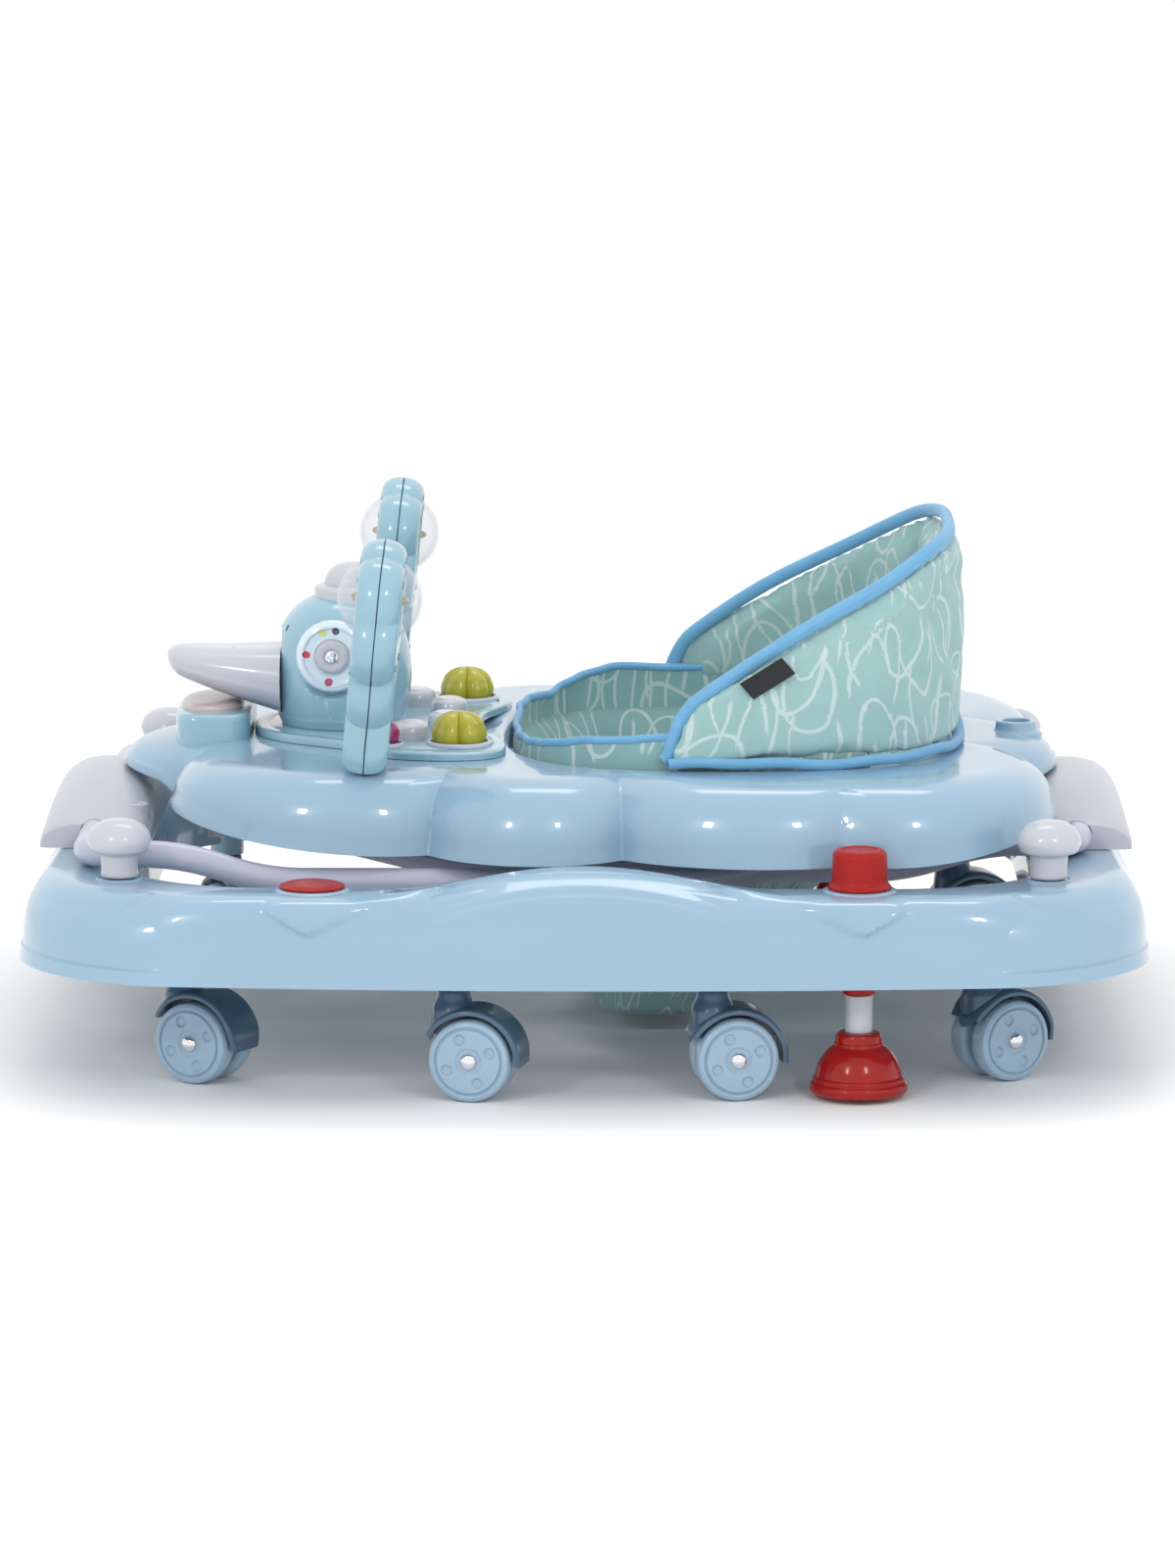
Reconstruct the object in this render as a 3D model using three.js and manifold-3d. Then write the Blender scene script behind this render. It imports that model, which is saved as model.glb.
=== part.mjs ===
// A folding baby walker, folded flat: a rolling base ring on eight twin-wheel casters, two crossed
// U-shaped tubes, and a tray that carries a fabric seat and a duck-shaped toy console.
// Millimetres, +Z up, front towards -X, origin on the floor under the middle of the base.
import * as THREE from "three";
import { mergeVertices } from "three/addons/utils/BufferGeometryUtils.js";
import Module from "manifold-3d";

const wasm = await Module();
wasm.setup();

// Clearances
const GAP = 0.3; // between pieces that touch
const RUN = 0.4; // radial clearance of pins that turn or slide
const CUT = 1; // how far a cutting tool reaches past the face it opens

// Base ring
const BASE_LENGTH = 698;
const BASE_WIDTH = 610;
const RAIL_WIDTH = 68;
const BASE_CORNER_R = 100;
const OPENING_CORNER_R = 115;
const BASE_WALL = 3;
const RAIL_BOTTOM_Z = 72.5;
const RAIL_END_RISE = 4.5;
const RAIL_TOP_Z = 128;
const ARCH_HEIGHT = 11;
const ARCH_HALF_LENGTH = 110;
const RAIL_SQUARENESS = 3.4;

// Casters
const WHEEL_R = 25.5;
const WHEEL_THICKNESS = 14;
const WHEEL_INNER_FACE = 4.2;
const AXLE_R = 3;
const AXLE_CAP_R = 5;
const AXLE_CAP_HEIGHT = 2.4;
const CASTER_TRAIL = 13;
const FENDER_R = 32;
const FENDER_THICKNESS = 4;
const FENDER_WIDTH = 33;
const HUB_R = 11;
const WEB_THICKNESS = 7.4;
const STEM_R = 5.5;
const STEM_TOP_Z = 112;
const COLLAR_R = 9.5;
const SOCKET_R = 11.5;
const SOCKET_BOTTOM_Z = 68;
const OUTER_CASTER_X = BASE_LENGTH / 2 - 103;
const OUTER_CASTER_INSET = 93;
const INNER_CASTER_X = 79;
const INNER_CASTER_INSET = 37;

// Knobs, plugs and brake stoppers on the rails
const KNOB_X = BASE_LENGTH / 2 - 64;
const KNOB_INSET = 76;
const KNOB_CAP_R = 19.8;
const KNOB_STEM_R = 11.7;
const KNOB_STEM_HEIGHT = 16;
const KNOB_CAP_HEIGHT = 20;
const PLUG_X = -165;
const STOPPER_X = 168;
const RAIL_FITTING_INSET = 39;
const PLUG_R = 20;
const PLUG_HEIGHT = 3.4;
const FITTING_BOSS_R = 24;
const FITTING_SEAT_Z = 129;
const STOPPER_CAP_R = 17;
const STOPPER_CAP_HEIGHT = 24;
const STOPPER_SLEEVE_R = 10;
const STOPPER_SLEEVE_BOTTOM_Z = 64;
const STOPPER_STEM_R = 8.5;
const STOPPER_SPIGOT_R = 6;
const STOPPER_SPIGOT_LENGTH = 22;
const STOPPER_FOOT_R = 30;
const STOPPER_FOOT_Z = 3.5;
const STOPPER_FOOT_HEIGHT = 37;

// Crossed tubes and their clamp covers
const TUBE_R = 8.5;
const PIVOT_X = BASE_LENGTH / 2 - 40;
const PIVOT_Z = RAIL_TOP_Z + TUBE_R + 1.5;
const TRAY_PIN_Z = 150;
const FRONT_TUBE_Y = 199;
const REAR_TUBE_Y = 150;
const TRAY_PIN_X = 225;
const TUBE_LOW_Z = 121;
const TUBE_BEND_R = 24;
const TUBE_PIN_R = 5;
const TUBE_PIN_INSET = 6;
const TUBE_REACH = PIVOT_X + TRAY_PIN_X + TUBE_PIN_INSET;
const TUBE_DIP_REACH = 44 + 8 * TUBE_R;
const TUBE_RISE_REACH = 154;
const TUBE_END_RUN = 36;
const TUBE_STEPS = 46 * Math.ceil(TUBE_REACH / 540);
const COVER_HALF_LENGTH = 120;
const COVER_HALF_WIDTH = 35;
const COVER_TOP_Z = 164;
const COVER_END_DROP = 19;

// Tray
const TRAY_TOP_Z = 186;
const TRAY_RIM_Z = 137;
const TRAY_WALL = 3;
const TRAY_SHOULDER = 38;
const TRAY_FRONT_RISE = 16;
const TRAY_REAR_RISE = 13;
const TRAY_OVER_COVER = 2;
const SEAT_HOLE_X = 88;
const SEAT_HOLE_HALF_LENGTH = 138;
const SEAT_HOLE_HALF_WIDTH = 166;
const SEAT_HOLE_LIP = 16;
const REAR_SOCKET_X = 276;
const REAR_SOCKET_R = 13;
const REAR_SOCKET_BORE_R = 9;
const REAR_SOCKET_HEIGHT = 6;
const BRACKET_THICKNESS = 5;
const BRACKET_BOTTOM_Z = 139;
const BRACKET_MARGIN = 11;
const BRACKET_TO_TUBE = 1;
const SLIDE_TRAVEL = 76;

// Seat
const SEAT_REAR_X = 237;
const SEAT_FRONT_X = 52;
const SEAT_HALF_WIDTH = 172;
const SEAT_LEAN = 20;
const SEAT_THICKNESS = 14;
const SEAT_FRONT_HEIGHT = 16;
const SEAT_BACK_HEIGHT = 140;
const BAG_WALL = 5;
const BAG_TO_HOLE = 0.4;
const BAG_BOTTOM_Z = 7;
const BAG_BOTTOM_X = 43;
const BAG_BOTTOM_HALF_LENGTH = 44;
const BAG_BOTTOM_HALF_WIDTH = 90;
const LEG_HOLE_R = 42;

// Toy console
const CONSOLE_HEIGHT = 5;
const HEAD_X = -158;
const HEAD_HALF_LENGTH = 45;
const HEAD_HALF_WIDTH = 51;
const HEAD_HEIGHT = 84;
const EYE_X = -162;
const EYE_Z = 240;
const EYE_FACE_Y = 43;
const EYE_RING_R = 23;
const EYE_RING_THICKNESS = 9;
const EYE_HUB_R = 11;
const EYE_HUB_THICKNESS = 12;
const HAT_X = -150;
const HAT_R = 15;
const BEAK_TIP_X = -270;
const BEAK_ROOT_X = -201;
const BEAK_HALF_WIDTH = 38;
const ARM_X = -137;
const ARM_Y = 165;
const ARM_THICKNESS = 28;
const ARM_LEAN = THREE.MathUtils.degToRad(5.5);
const GLOBE_R = 26.5;
const GLOBE_HEIGHT = 107;
const GLOBE_WALL = 1.6;
const GLOBE_DISC_R = 22;
const GLOBE_PIN_R = 2.5;
const FLOWER_X = -80;
const FLOWER_Y = 97;
const FLOWER_R = 18;
const FLOWER_HEIGHT = 21;
const BALL_X = -127;
const BALL_Y = -104;
const BALL_R = 10;
const KEY_SPOTS = [[-112, -72], [-90, -31], [-90, 31], [-112, 72]];
const KEY_HALF_LENGTH = 12;
const KEY_HALF_WIDTH = 15;
const KEY_HEIGHT = 13;
const KEY_SUNK = 1.6;
const KEY_TRAVEL = 2;

// Materials
const finish = (color, roughness = 0.35, metalness = 0) =>
  new THREE.MeshStandardMaterial({ color, roughness, metalness });
const BLUE = finish("#a9cbe2", 0.2);
const AQUA = finish("#9fd3e3", 0.25);
const WHITE = finish("#eef0f6", 0.3);
const LILAC = finish("#d3d6e8", 0.3);
const RED = finish("#a8202a", 0.25);
const SLATE = finish("#3d5a78", 0.4);
const WHEEL_BLUE = finish("#9cb9cf", 0.4);
const YELLOW = finish("#c9c72e", 0.3);
const MAGENTA = finish("#a9145a", 0.25);
const MINT = finish("#9ed6cf", 0.9);
const CLEAR = finish("#dfeaf2", 0.05);
const ORANGE = finish("#c87838", 0.5);

const walker = new THREE.Group();

// A geometry as a closed solid, its shared vertices merged and its faces turned outwards.
function solid(geometry) {
  const bare = geometry.clone();
  bare.deleteAttribute("normal");
  bare.deleteAttribute("uv");
  const merged = mergeVertices(bare, 1e-3);
  const vertProperties = merged.attributes.position.array;
  const triVerts = new Uint32Array(merged.index.array);
  const corner = (i) => new THREE.Vector3().fromArray(vertProperties, 3 * triVerts[i]);
  let volume = 0;
  for (let i = 0; i < triVerts.length; i += 3) {
    volume += corner(i).dot(corner(i + 1).cross(corner(i + 2)));
  }
  if (volume < 0) triVerts.reverse();
  return new wasm.Manifold(new wasm.Mesh({ numProp: 3, vertProperties, triVerts }));
}

// Adds one named sub-part to the walker.
function addPart(name, shape, material) {
  const made = shape.getMesh();
  const geometry = new THREE.BufferGeometry();
  geometry.setAttribute("position", new THREE.BufferAttribute(made.vertProperties, 3));
  geometry.setIndex(new THREE.BufferAttribute(made.triVerts, 1));
  geometry.computeVertexNormals();
  const mesh = new THREE.Mesh(geometry, material);
  mesh.name = name;
  walker.add(mesh);
}

const union = (shapes) => shapes.reduce((whole, piece) => whole.add(piece));

// A body turned about the vertical axis from [radius, height] points.
function turned(points, sides = 16) {
  const profile = points.map(([radius, height]) => new THREE.Vector2(radius, height));
  return new THREE.LatheGeometry(profile, sides).rotateX(Math.PI / 2);
}

// An upright cylinder between two heights.
function post(radius, bottom, top, sides = 12) {
  return turned([[0, bottom], [radius, bottom], [radius, top], [0, top]], sides);
}

// A shape in the XZ plane, extruded along Y by `width` around y = 0.
function slab(shape, width, curveSegments = 12) {
  return new THREE.ExtrudeGeometry(shape, { depth: width, bevelEnabled: false, curveSegments })
    .rotateX(Math.PI / 2)
    .translate(0, width / 2, 0);
}

// A shape in the XY plane, extruded upwards from `bottom`.
function plate(shape, bottom, height, curveSegments = 12) {
  return new THREE.ExtrudeGeometry(shape, { depth: height, bevelEnabled: false, curveSegments })
    .translate(0, 0, bottom);
}

// A closed surface through rings of points; the rings close on each other, or end in flat caps.
function loft(rings, closed) {
  const sides = rings[0].length;
  const points = rings.flat();
  const index = [];
  const last = closed ? rings.length : rings.length - 1;
  for (let i = 0; i < last; i++) {
    for (let j = 0; j < sides; j++) {
      const a = i * sides + j;
      const b = i * sides + ((j + 1) % sides);
      const c = ((i + 1) % rings.length) * sides + j;
      const d = ((i + 1) % rings.length) * sides + ((j + 1) % sides);
      index.push(a, b, d, a, d, c);
    }
  }
  if (!closed) {
    for (const [start, turn] of [[0, 1], [(rings.length - 1) * sides, -1]]) {
      const middle = points.length;
      const centre = new THREE.Vector3();
      for (let j = 0; j < sides; j++) centre.addScaledVector(points[start + j], 1 / sides);
      points.push(centre);
      for (let j = 0; j < sides; j++) {
        const here = start + j;
        const next = start + ((j + 1) % sides);
        index.push(...(turn > 0 ? [middle, next, here] : [middle, here, next]));
      }
    }
  }
  return new THREE.BufferGeometry().setFromPoints(points).setIndex(index);
}

// The point at share `t` of a rounded rectangle, whose sides and corners each take an eighth.
function roundedRectangle(t, halfLength, halfWidth, radius) {
  const eighth = (t * 8) % 8;
  const quarter = Math.floor(eighth / 2);
  const along = eighth - quarter * 2;
  const turn = (quarter * Math.PI) / 2;
  const sideways = quarter % 2 === 0;
  const reach = (sideways ? halfLength : halfWidth) - radius;
  const run = (sideways ? halfWidth : halfLength) - radius;
  const local =
    along < 1
      ? new THREE.Vector2(reach + radius, run * (2 * along - 1))
      : new THREE.Vector2(radius, 0)
          .rotateAround(new THREE.Vector2(), ((along - 1) * Math.PI) / 2)
          .add(new THREE.Vector2(reach, run));
  return local.rotateAround(new THREE.Vector2(), turn);
}

// A power of a cosine or sine that keeps its sign, which squares off a circle.
const squared = (value, power) => Math.sign(value) * Math.abs(value) ** (2 / power);

// ---------------------------------------------------------------- base ring
const railTop = (x, y) => {
  const onLongSide = Math.abs(y) > BASE_WIDTH / 2 - RAIL_WIDTH - 2;
  const inArch = onLongSide && Math.abs(x) < ARCH_HALF_LENGTH;
  return RAIL_TOP_Z + (inArch ? ARCH_HEIGHT * Math.cos((Math.PI * x) / (2 * ARCH_HALF_LENGTH)) ** 2 : 0);
};

function baseFrame() {
  const stations = 48;
  const steps = 5;
  const rings = [];
  for (let i = 0; i < stations; i++) {
    const t = i / stations;
    const outer = roundedRectangle(t, BASE_LENGTH / 2, BASE_WIDTH / 2, BASE_CORNER_R);
    const inner = roundedRectangle(
      t, BASE_LENGTH / 2 - RAIL_WIDTH, BASE_WIDTH / 2 - RAIL_WIDTH, OPENING_CORNER_R,
    );
    const width = outer.distanceTo(inner);
    const top = railTop(outer.x, outer.y);
    const rise = RAIL_END_RISE * (outer.x / (BASE_LENGTH / 2)) ** 2;
    const bottom = RAIL_BOTTOM_Z + rise;
    const ring = [];
    for (const inset of [0, BASE_WALL]) {
      for (let j = 0; j <= steps; j++) {
        const angle = (Math.PI * (inset ? steps - j : j)) / steps;
        const across = 0.5 - (0.5 - inset / width) * squared(Math.cos(angle), RAIL_SQUARENESS);
        const up = (top - inset - bottom) * squared(Math.sin(angle), RAIL_SQUARENESS);
        const spot = outer.clone().lerp(inner, across);
        ring.push(new THREE.Vector3(spot.x, spot.y, bottom + Math.max(up, 0)));
      }
    }
    rings.push(ring);
  }
  return solid(loft(rings, true));
}

const fittingY = BASE_WIDTH / 2 - RAIL_FITTING_INSET;
const knobY = BASE_WIDTH / 2 - KNOB_INSET;
const casterSpots = [];
for (const side of [-1, 1]) {
  const outerY = side * (BASE_WIDTH / 2 - OUTER_CASTER_INSET);
  const innerY = side * (BASE_WIDTH / 2 - INNER_CASTER_INSET);
  const where = side < 0 ? "near" : "far";
  casterSpots.push(
    { name: `${where}_front_outer`, x: -OUTER_CASTER_X, y: outerY, yaw: side < 0 ? 29 : 55 },
    { name: `${where}_front_inner`, x: -INNER_CASTER_X, y: innerY, yaw: side < 0 ? 12 : 20 },
    { name: `${where}_rear_inner`, x: INNER_CASTER_X, y: innerY, yaw: side < 0 ? -10 : -18 },
    { name: `${where}_rear_outer`, x: OUTER_CASTER_X, y: outerY, yaw: side < 0 ? -33 : -12 },
  );
}

const socketTop = RAIL_TOP_Z - BASE_WALL / 2;
const baseAdds = [];
const baseCuts = [];
for (const { x, y } of casterSpots) {
  baseAdds.push(solid(post(SOCKET_R, SOCKET_BOTTOM_Z, socketTop, 8).translate(x, y, 0)));
  baseCuts.push(solid(post(STEM_R + RUN, SOCKET_BOTTOM_Z - CUT, STEM_TOP_Z + RUN).translate(x, y, 0)));
}
for (const side of [-1, 1]) {
  for (const end of [-1, 1]) {
    const pad = post(KNOB_STEM_R + 3, RAIL_TOP_Z - 18, RAIL_TOP_Z + 1);
    baseAdds.push(solid(pad.translate(end * KNOB_X, side * knobY, 0)));
  }
  for (const x of [PLUG_X, STOPPER_X]) {
    const boss = turned([
      [0, FITTING_SEAT_Z - 22], [FITTING_BOSS_R - 9, FITTING_SEAT_Z - 22],
      [FITTING_BOSS_R, FITTING_SEAT_Z - 6], [FITTING_BOSS_R - 3, FITTING_SEAT_Z], [0, FITTING_SEAT_Z],
    ]);
    baseAdds.push(solid(boss.translate(x, side * fittingY, 0)));
  }
  const above = post(FITTING_BOSS_R + 6, FITTING_SEAT_Z, RAIL_TOP_Z + 20);
  baseCuts.push(solid(above.clone().translate(STOPPER_X, side * fittingY, 0)));
  baseCuts.push(solid(above.clone().translate(PLUG_X, side * fittingY, 0)));
  const guide = post(STOPPER_SLEEVE_R + RUN, STOPPER_SLEEVE_BOTTOM_Z, RAIL_TOP_Z + CUT);
  baseCuts.push(solid(guide.translate(STOPPER_X, side * fittingY, 0)));
}
addPart("base_frame", union([baseFrame(), ...baseAdds]).subtract(union(baseCuts)), BLUE);

// Corner knobs and rail plugs
const knobBottom = RAIL_TOP_Z + 1 + GAP;
const knobCapBottom = knobBottom + KNOB_STEM_HEIGHT;
const knobProfile = [
  [0, knobBottom],
  [KNOB_STEM_R, knobBottom],
  [KNOB_STEM_R, knobCapBottom],
  [KNOB_CAP_R - 1, knobCapBottom + 1],
  [KNOB_CAP_R, knobCapBottom + KNOB_CAP_HEIGHT * 0.35],
  [KNOB_CAP_R * 0.8, knobCapBottom + KNOB_CAP_HEIGHT * 0.8],
  [KNOB_CAP_R * 0.4, knobCapBottom + KNOB_CAP_HEIGHT * 0.97],
  [0, knobCapBottom + KNOB_CAP_HEIGHT],
];
const plugBottom = FITTING_SEAT_Z + GAP;
for (const side of [-1, 1]) {
  const where = side < 0 ? "near" : "far";
  for (const end of [-1, 1]) {
    const knob = turned(knobProfile).translate(end * KNOB_X, side * knobY, 0);
    addPart(`${where}_${end < 0 ? "front" : "rear"}_corner_knob`, solid(knob), WHITE);
  }
  const plug = turned([
    [0, plugBottom], [PLUG_R, plugBottom], [PLUG_R, plugBottom + 1.5],
    [PLUG_R * 0.6, plugBottom + PLUG_HEIGHT * 0.85], [0, plugBottom + PLUG_HEIGHT],
  ]);
  addPart(`${where}_rail_plug`, solid(plug.translate(PLUG_X, side * fittingY, 0)), RED);
}

// Brake stoppers: a red cap whose sleeve runs through the rail, and a foot pushed up into the sleeve
const capProfile = [
  [STOPPER_SPIGOT_R + GAP, STOPPER_SLEEVE_BOTTOM_Z],
  [STOPPER_SLEEVE_R, STOPPER_SLEEVE_BOTTOM_Z],
  [STOPPER_SLEEVE_R, plugBottom],
  [STOPPER_CAP_R + 2.5, plugBottom],
  [STOPPER_CAP_R + 1, plugBottom + 3],
  [STOPPER_CAP_R, plugBottom + 6],
  [STOPPER_CAP_R, plugBottom + STOPPER_CAP_HEIGHT - 2],
  [STOPPER_CAP_R - 2, plugBottom + STOPPER_CAP_HEIGHT],
  [0, plugBottom + STOPPER_CAP_HEIGHT],
  [0, STOPPER_SLEEVE_BOTTOM_Z + STOPPER_SPIGOT_LENGTH + 2],
  [STOPPER_SPIGOT_R + GAP, STOPPER_SLEEVE_BOTTOM_Z + STOPPER_SPIGOT_LENGTH + 2],
  [STOPPER_SPIGOT_R + GAP, STOPPER_SLEEVE_BOTTOM_Z],
];
const footTop = STOPPER_FOOT_Z + STOPPER_FOOT_HEIGHT;
const stemTop = STOPPER_SLEEVE_BOTTOM_Z - GAP;
const footProfile = [
  [0, STOPPER_FOOT_Z],
  [STOPPER_FOOT_R, STOPPER_FOOT_Z],
  [STOPPER_FOOT_R, STOPPER_FOOT_Z + 4],
  [STOPPER_FOOT_R * 0.88, STOPPER_FOOT_Z + STOPPER_FOOT_HEIGHT * 0.35],
  [STOPPER_FOOT_R * 0.68, STOPPER_FOOT_Z + STOPPER_FOOT_HEIGHT * 0.66],
  [STOPPER_FOOT_R * 0.46, STOPPER_FOOT_Z + STOPPER_FOOT_HEIGHT * 0.8],
  [STOPPER_FOOT_R * 0.45, footTop],
  [STOPPER_STEM_R, footTop],
  [STOPPER_STEM_R, stemTop],
  [STOPPER_SPIGOT_R, stemTop],
  [STOPPER_SPIGOT_R, stemTop + STOPPER_SPIGOT_LENGTH],
  [0, stemTop + STOPPER_SPIGOT_LENGTH],
];
for (const side of [-1, 1]) {
  const where = side < 0 ? "near" : "far";
  const cap = turned(capProfile).translate(STOPPER_X, side * fittingY, 0);
  const foot = turned(footProfile).translate(STOPPER_X, side * fittingY, 0);
  addPart(`${where}_stopper_cap`, solid(cap), RED);
  addPart(`${where}_stopper_foot`, solid(foot), RED);
}

// ---------------------------------------------------------------- casters
// Each fork is a web between the wheels with a fender over them and a stem up into the base.
function casterFork() {
  const start = THREE.MathUtils.degToRad(-5);
  const end = THREE.MathUtils.degToRad(150);
  const fender = new THREE.Shape();
  fender.absarc(0, 0, FENDER_R, start, end, false);
  fender.absarc(0, 0, FENDER_R - FENDER_THICKNESS, end, start, true);
  const webStart = THREE.MathUtils.degToRad(30);
  const web = new THREE.Shape();
  web.absarc(0, 0, FENDER_R - 2, webStart, end, false);
  web.absarc(0, 0, HUB_R, end, webStart + 2 * Math.PI, false);
  const collar = post(COLLAR_R, WHEEL_R + FENDER_R - 10, SOCKET_BOTTOM_Z - GAP);
  const stem = post(STEM_R, WHEEL_R + FENDER_R - 10, STEM_TOP_Z);
  const wheelRoom = slab(new THREE.Shape().absarc(0, 0, FENDER_R - FENDER_THICKNESS, 0, 2 * Math.PI), FENDER_WIDTH, 8);
  const upper = union([
    solid(collar.translate(-CASTER_TRAIL, 0, 0)),
    solid(stem.translate(-CASTER_TRAIL, 0, 0)),
  ]);
  const bore = slab(new THREE.Shape().absarc(0, 0, AXLE_R + RUN, 0, 2 * Math.PI), FENDER_WIDTH, 6);
  return upper
    .subtract(solid(wheelRoom.translate(0, 0, WHEEL_R)))
    .add(solid(slab(fender, FENDER_WIDTH, 6).translate(0, 0, WHEEL_R)))
    .add(solid(slab(web, WEB_THICKNESS, 6).translate(0, 0, WHEEL_R)))
    .subtract(solid(bore.translate(0, 0, WHEEL_R)));
}

// Two wheels on one axle, with a domed cap at each end.
function casterWheels() {
  const outer = WHEEL_INNER_FACE + WHEEL_THICKNESS;
  const half = [
    [AXLE_R, 0],
    [AXLE_R, WHEEL_INNER_FACE],
    [WHEEL_R, WHEEL_INNER_FACE],
    [WHEEL_R, outer],
    [AXLE_CAP_R, outer],
    [0, outer + AXLE_CAP_HEIGHT],
  ];
  const mirrored = half.slice(1).reverse().map(([radius, height]) => [radius, -height]);
  return turned([...mirrored, ...half.slice(1)]).rotateX(-Math.PI / 2).translate(0, 0, WHEEL_R);
}

const fork = casterFork();
const wheels = solid(casterWheels());
for (const { name, x, y, yaw } of casterSpots) {
  const turn = THREE.MathUtils.degToRad(-yaw);
  const wheelX = x + CASTER_TRAIL * Math.cos(turn);
  const wheelY = y + CASTER_TRAIL * Math.sin(turn);
  const place = (shape) => shape.rotate([0, 0, -yaw]).translate([wheelX, wheelY, 0]);
  addPart(`${name}_caster_fork`, place(fork), SLATE);
  addPart(`${name}_caster_wheels`, place(wheels), WHEEL_BLUE);
}

// ---------------------------------------------------------------- crossed tubes
// The path runs from one tray end down a leg, across the base and back, with rounded bends.
function bentTube(legY, direction) {
  const pivotX = -direction * PIVOT_X;
  const leg = [
    [TUBE_REACH, TRAY_PIN_Z], [TUBE_REACH - TUBE_END_RUN, TRAY_PIN_Z], [TUBE_REACH - TUBE_RISE_REACH, TUBE_LOW_Z],
    [TUBE_DIP_REACH, TUBE_LOW_Z], [TUBE_DIP_REACH - 52, PIVOT_Z],
  ];
  const point = (reach, z, side) => new THREE.Vector3(pivotX + direction * reach, side * legY, z);
  const corners = [
    ...leg.map(([reach, z]) => point(reach, z, -1)),
    point(0, PIVOT_Z, -1),
    point(0, PIVOT_Z, 1),
    ...leg.map(([reach, z]) => point(reach, z, 1)).reverse(),
  ];
  const path = new THREE.CurvePath();
  let from = corners[0];
  for (let i = 1; i < corners.length - 1; i++) {
    const before = corners[i - 1].clone().sub(corners[i]).normalize();
    const after = corners[i + 1].clone().sub(corners[i]).normalize();
    const bend = Math.min(TUBE_BEND_R, corners[i - 1].distanceTo(corners[i]) * 0.45,
      corners[i + 1].distanceTo(corners[i]) * 0.45);
    const enter = corners[i].clone().addScaledVector(before, bend);
    const leave = corners[i].clone().addScaledVector(after, bend);
    path.add(new THREE.LineCurve3(from, enter));
    path.add(new THREE.QuadraticBezierCurve3(enter, corners[i], leave));
    from = leave;
  }
  path.add(new THREE.LineCurve3(from, corners.at(-1)));
  const section = new THREE.Shape().absarc(0, 0, TUBE_R, 0, 2 * Math.PI);
  const tube = new THREE.ExtrudeGeometry(section, { steps: TUBE_STEPS, extrudePath: path, curveSegments: 4 });
  const pinLength = TUBE_R + BRACKET_TO_TUBE + BRACKET_THICKNESS + 1;
  const pins = [-1, 1].map((side) => {
    const pin = new THREE.CylinderGeometry(TUBE_PIN_R, TUBE_PIN_R, pinLength, 16);
    const middleY = side * (legY - pinLength / 2);
    return solid(pin.translate(pivotX + direction * (TUBE_REACH - TUBE_PIN_INSET), middleY, TRAY_PIN_Z));
  });
  return union([solid(tube), ...pins]);
}
addPart("front_tube", bentTube(FRONT_TUBE_Y, 1), LILAC);
addPart("rear_tube", bentTube(REAR_TUBE_Y, -1), LILAC);

// A cover on the middle of each short rail clamps the tube, which turns in its bore.
const coverTop = (y) => COVER_TOP_Z - COVER_END_DROP * (y / COVER_HALF_LENGTH) ** 2;
function clampCover(direction) {
  const bottom = RAIL_TOP_Z + GAP;
  const rings = [];
  const [lengths, arcs] = [8, 10];
  for (let i = 0; i <= lengths; i++) {
    const y = COVER_HALF_LENGTH * ((2 * i) / lengths - 1);
    const ring = [];
    for (let j = 0; j <= arcs; j++) {
      const angle = (Math.PI * j) / arcs;
      const x = direction * PIVOT_X + COVER_HALF_WIDTH * squared(Math.cos(angle), 2.6);
      const up = Math.max(squared(Math.sin(angle), 2.6), 0);
      ring.push(new THREE.Vector3(x, y, bottom + (coverTop(y) - bottom) * up));
    }
    rings.push(ring);
  }
  const bore = new THREE.CylinderGeometry(TUBE_R + RUN, TUBE_R + RUN, 3 * COVER_HALF_LENGTH, 16);
  return solid(loft(rings, false)).subtract(solid(bore.translate(direction * PIVOT_X, 0, PIVOT_Z)));
}
addPart("front_clamp_cover", clampCover(-1), WHITE);
addPart("rear_clamp_cover", clampCover(1), WHITE);

// ---------------------------------------------------------------- tray
// The tray's outline is a cloud: the farthest reach of a few ellipses [x, y, half length, half width].
const TRAY_CENTRE_X = 10;
const LOBES = [
  [-172, 0, 126, 95],
  [-150, 100, 112, 110],
  [-30, 130, 85, 107],
  [110, 100, 135, 147],
  [190, 120, 105, 122],
  [210, 0, 92, 92],
];
function trayReach(angle) {
  const [dx, dy] = [Math.cos(angle), Math.abs(Math.sin(angle))];
  return Math.max(...LOBES.flatMap(([x, y, halfLength, halfWidth]) =>
    [y, -y].map((lobeY) => {
      const [px, py] = [(TRAY_CENTRE_X - x) / halfLength, -lobeY / halfWidth];
      const [ux, uy] = [dx / halfLength, dy / halfWidth];
      const [a, b, c] = [ux * ux + uy * uy, px * ux + py * uy, px * px + py * py - 1];
      const root = b * b - a * c;
      return root > 0 ? (-b + Math.sqrt(root)) / a : 0;
    })));
}

// The rim climbs towards both ends, and clears the clamp covers where it passes over them.
function trayRim(x, y) {
  const rim =
    TRAY_RIM_Z +
    TRAY_FRONT_RISE * (Math.max(-x - 80, 0) / 175) ** 2 +
    TRAY_REAR_RISE * (Math.max(x - 180, 0) / 105) ** 2;
  const inside = PIVOT_X - COVER_HALF_WIDTH - 12;
  const over = THREE.MathUtils.clamp((Math.abs(x) - inside) / 10, 0, 1);
  const clear = Math.abs(y) < COVER_HALF_LENGTH + 8 ? coverTop(y) + TRAY_OVER_COVER : rim;
  return THREE.MathUtils.lerp(rim, Math.max(rim, clear), over);
}

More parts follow.
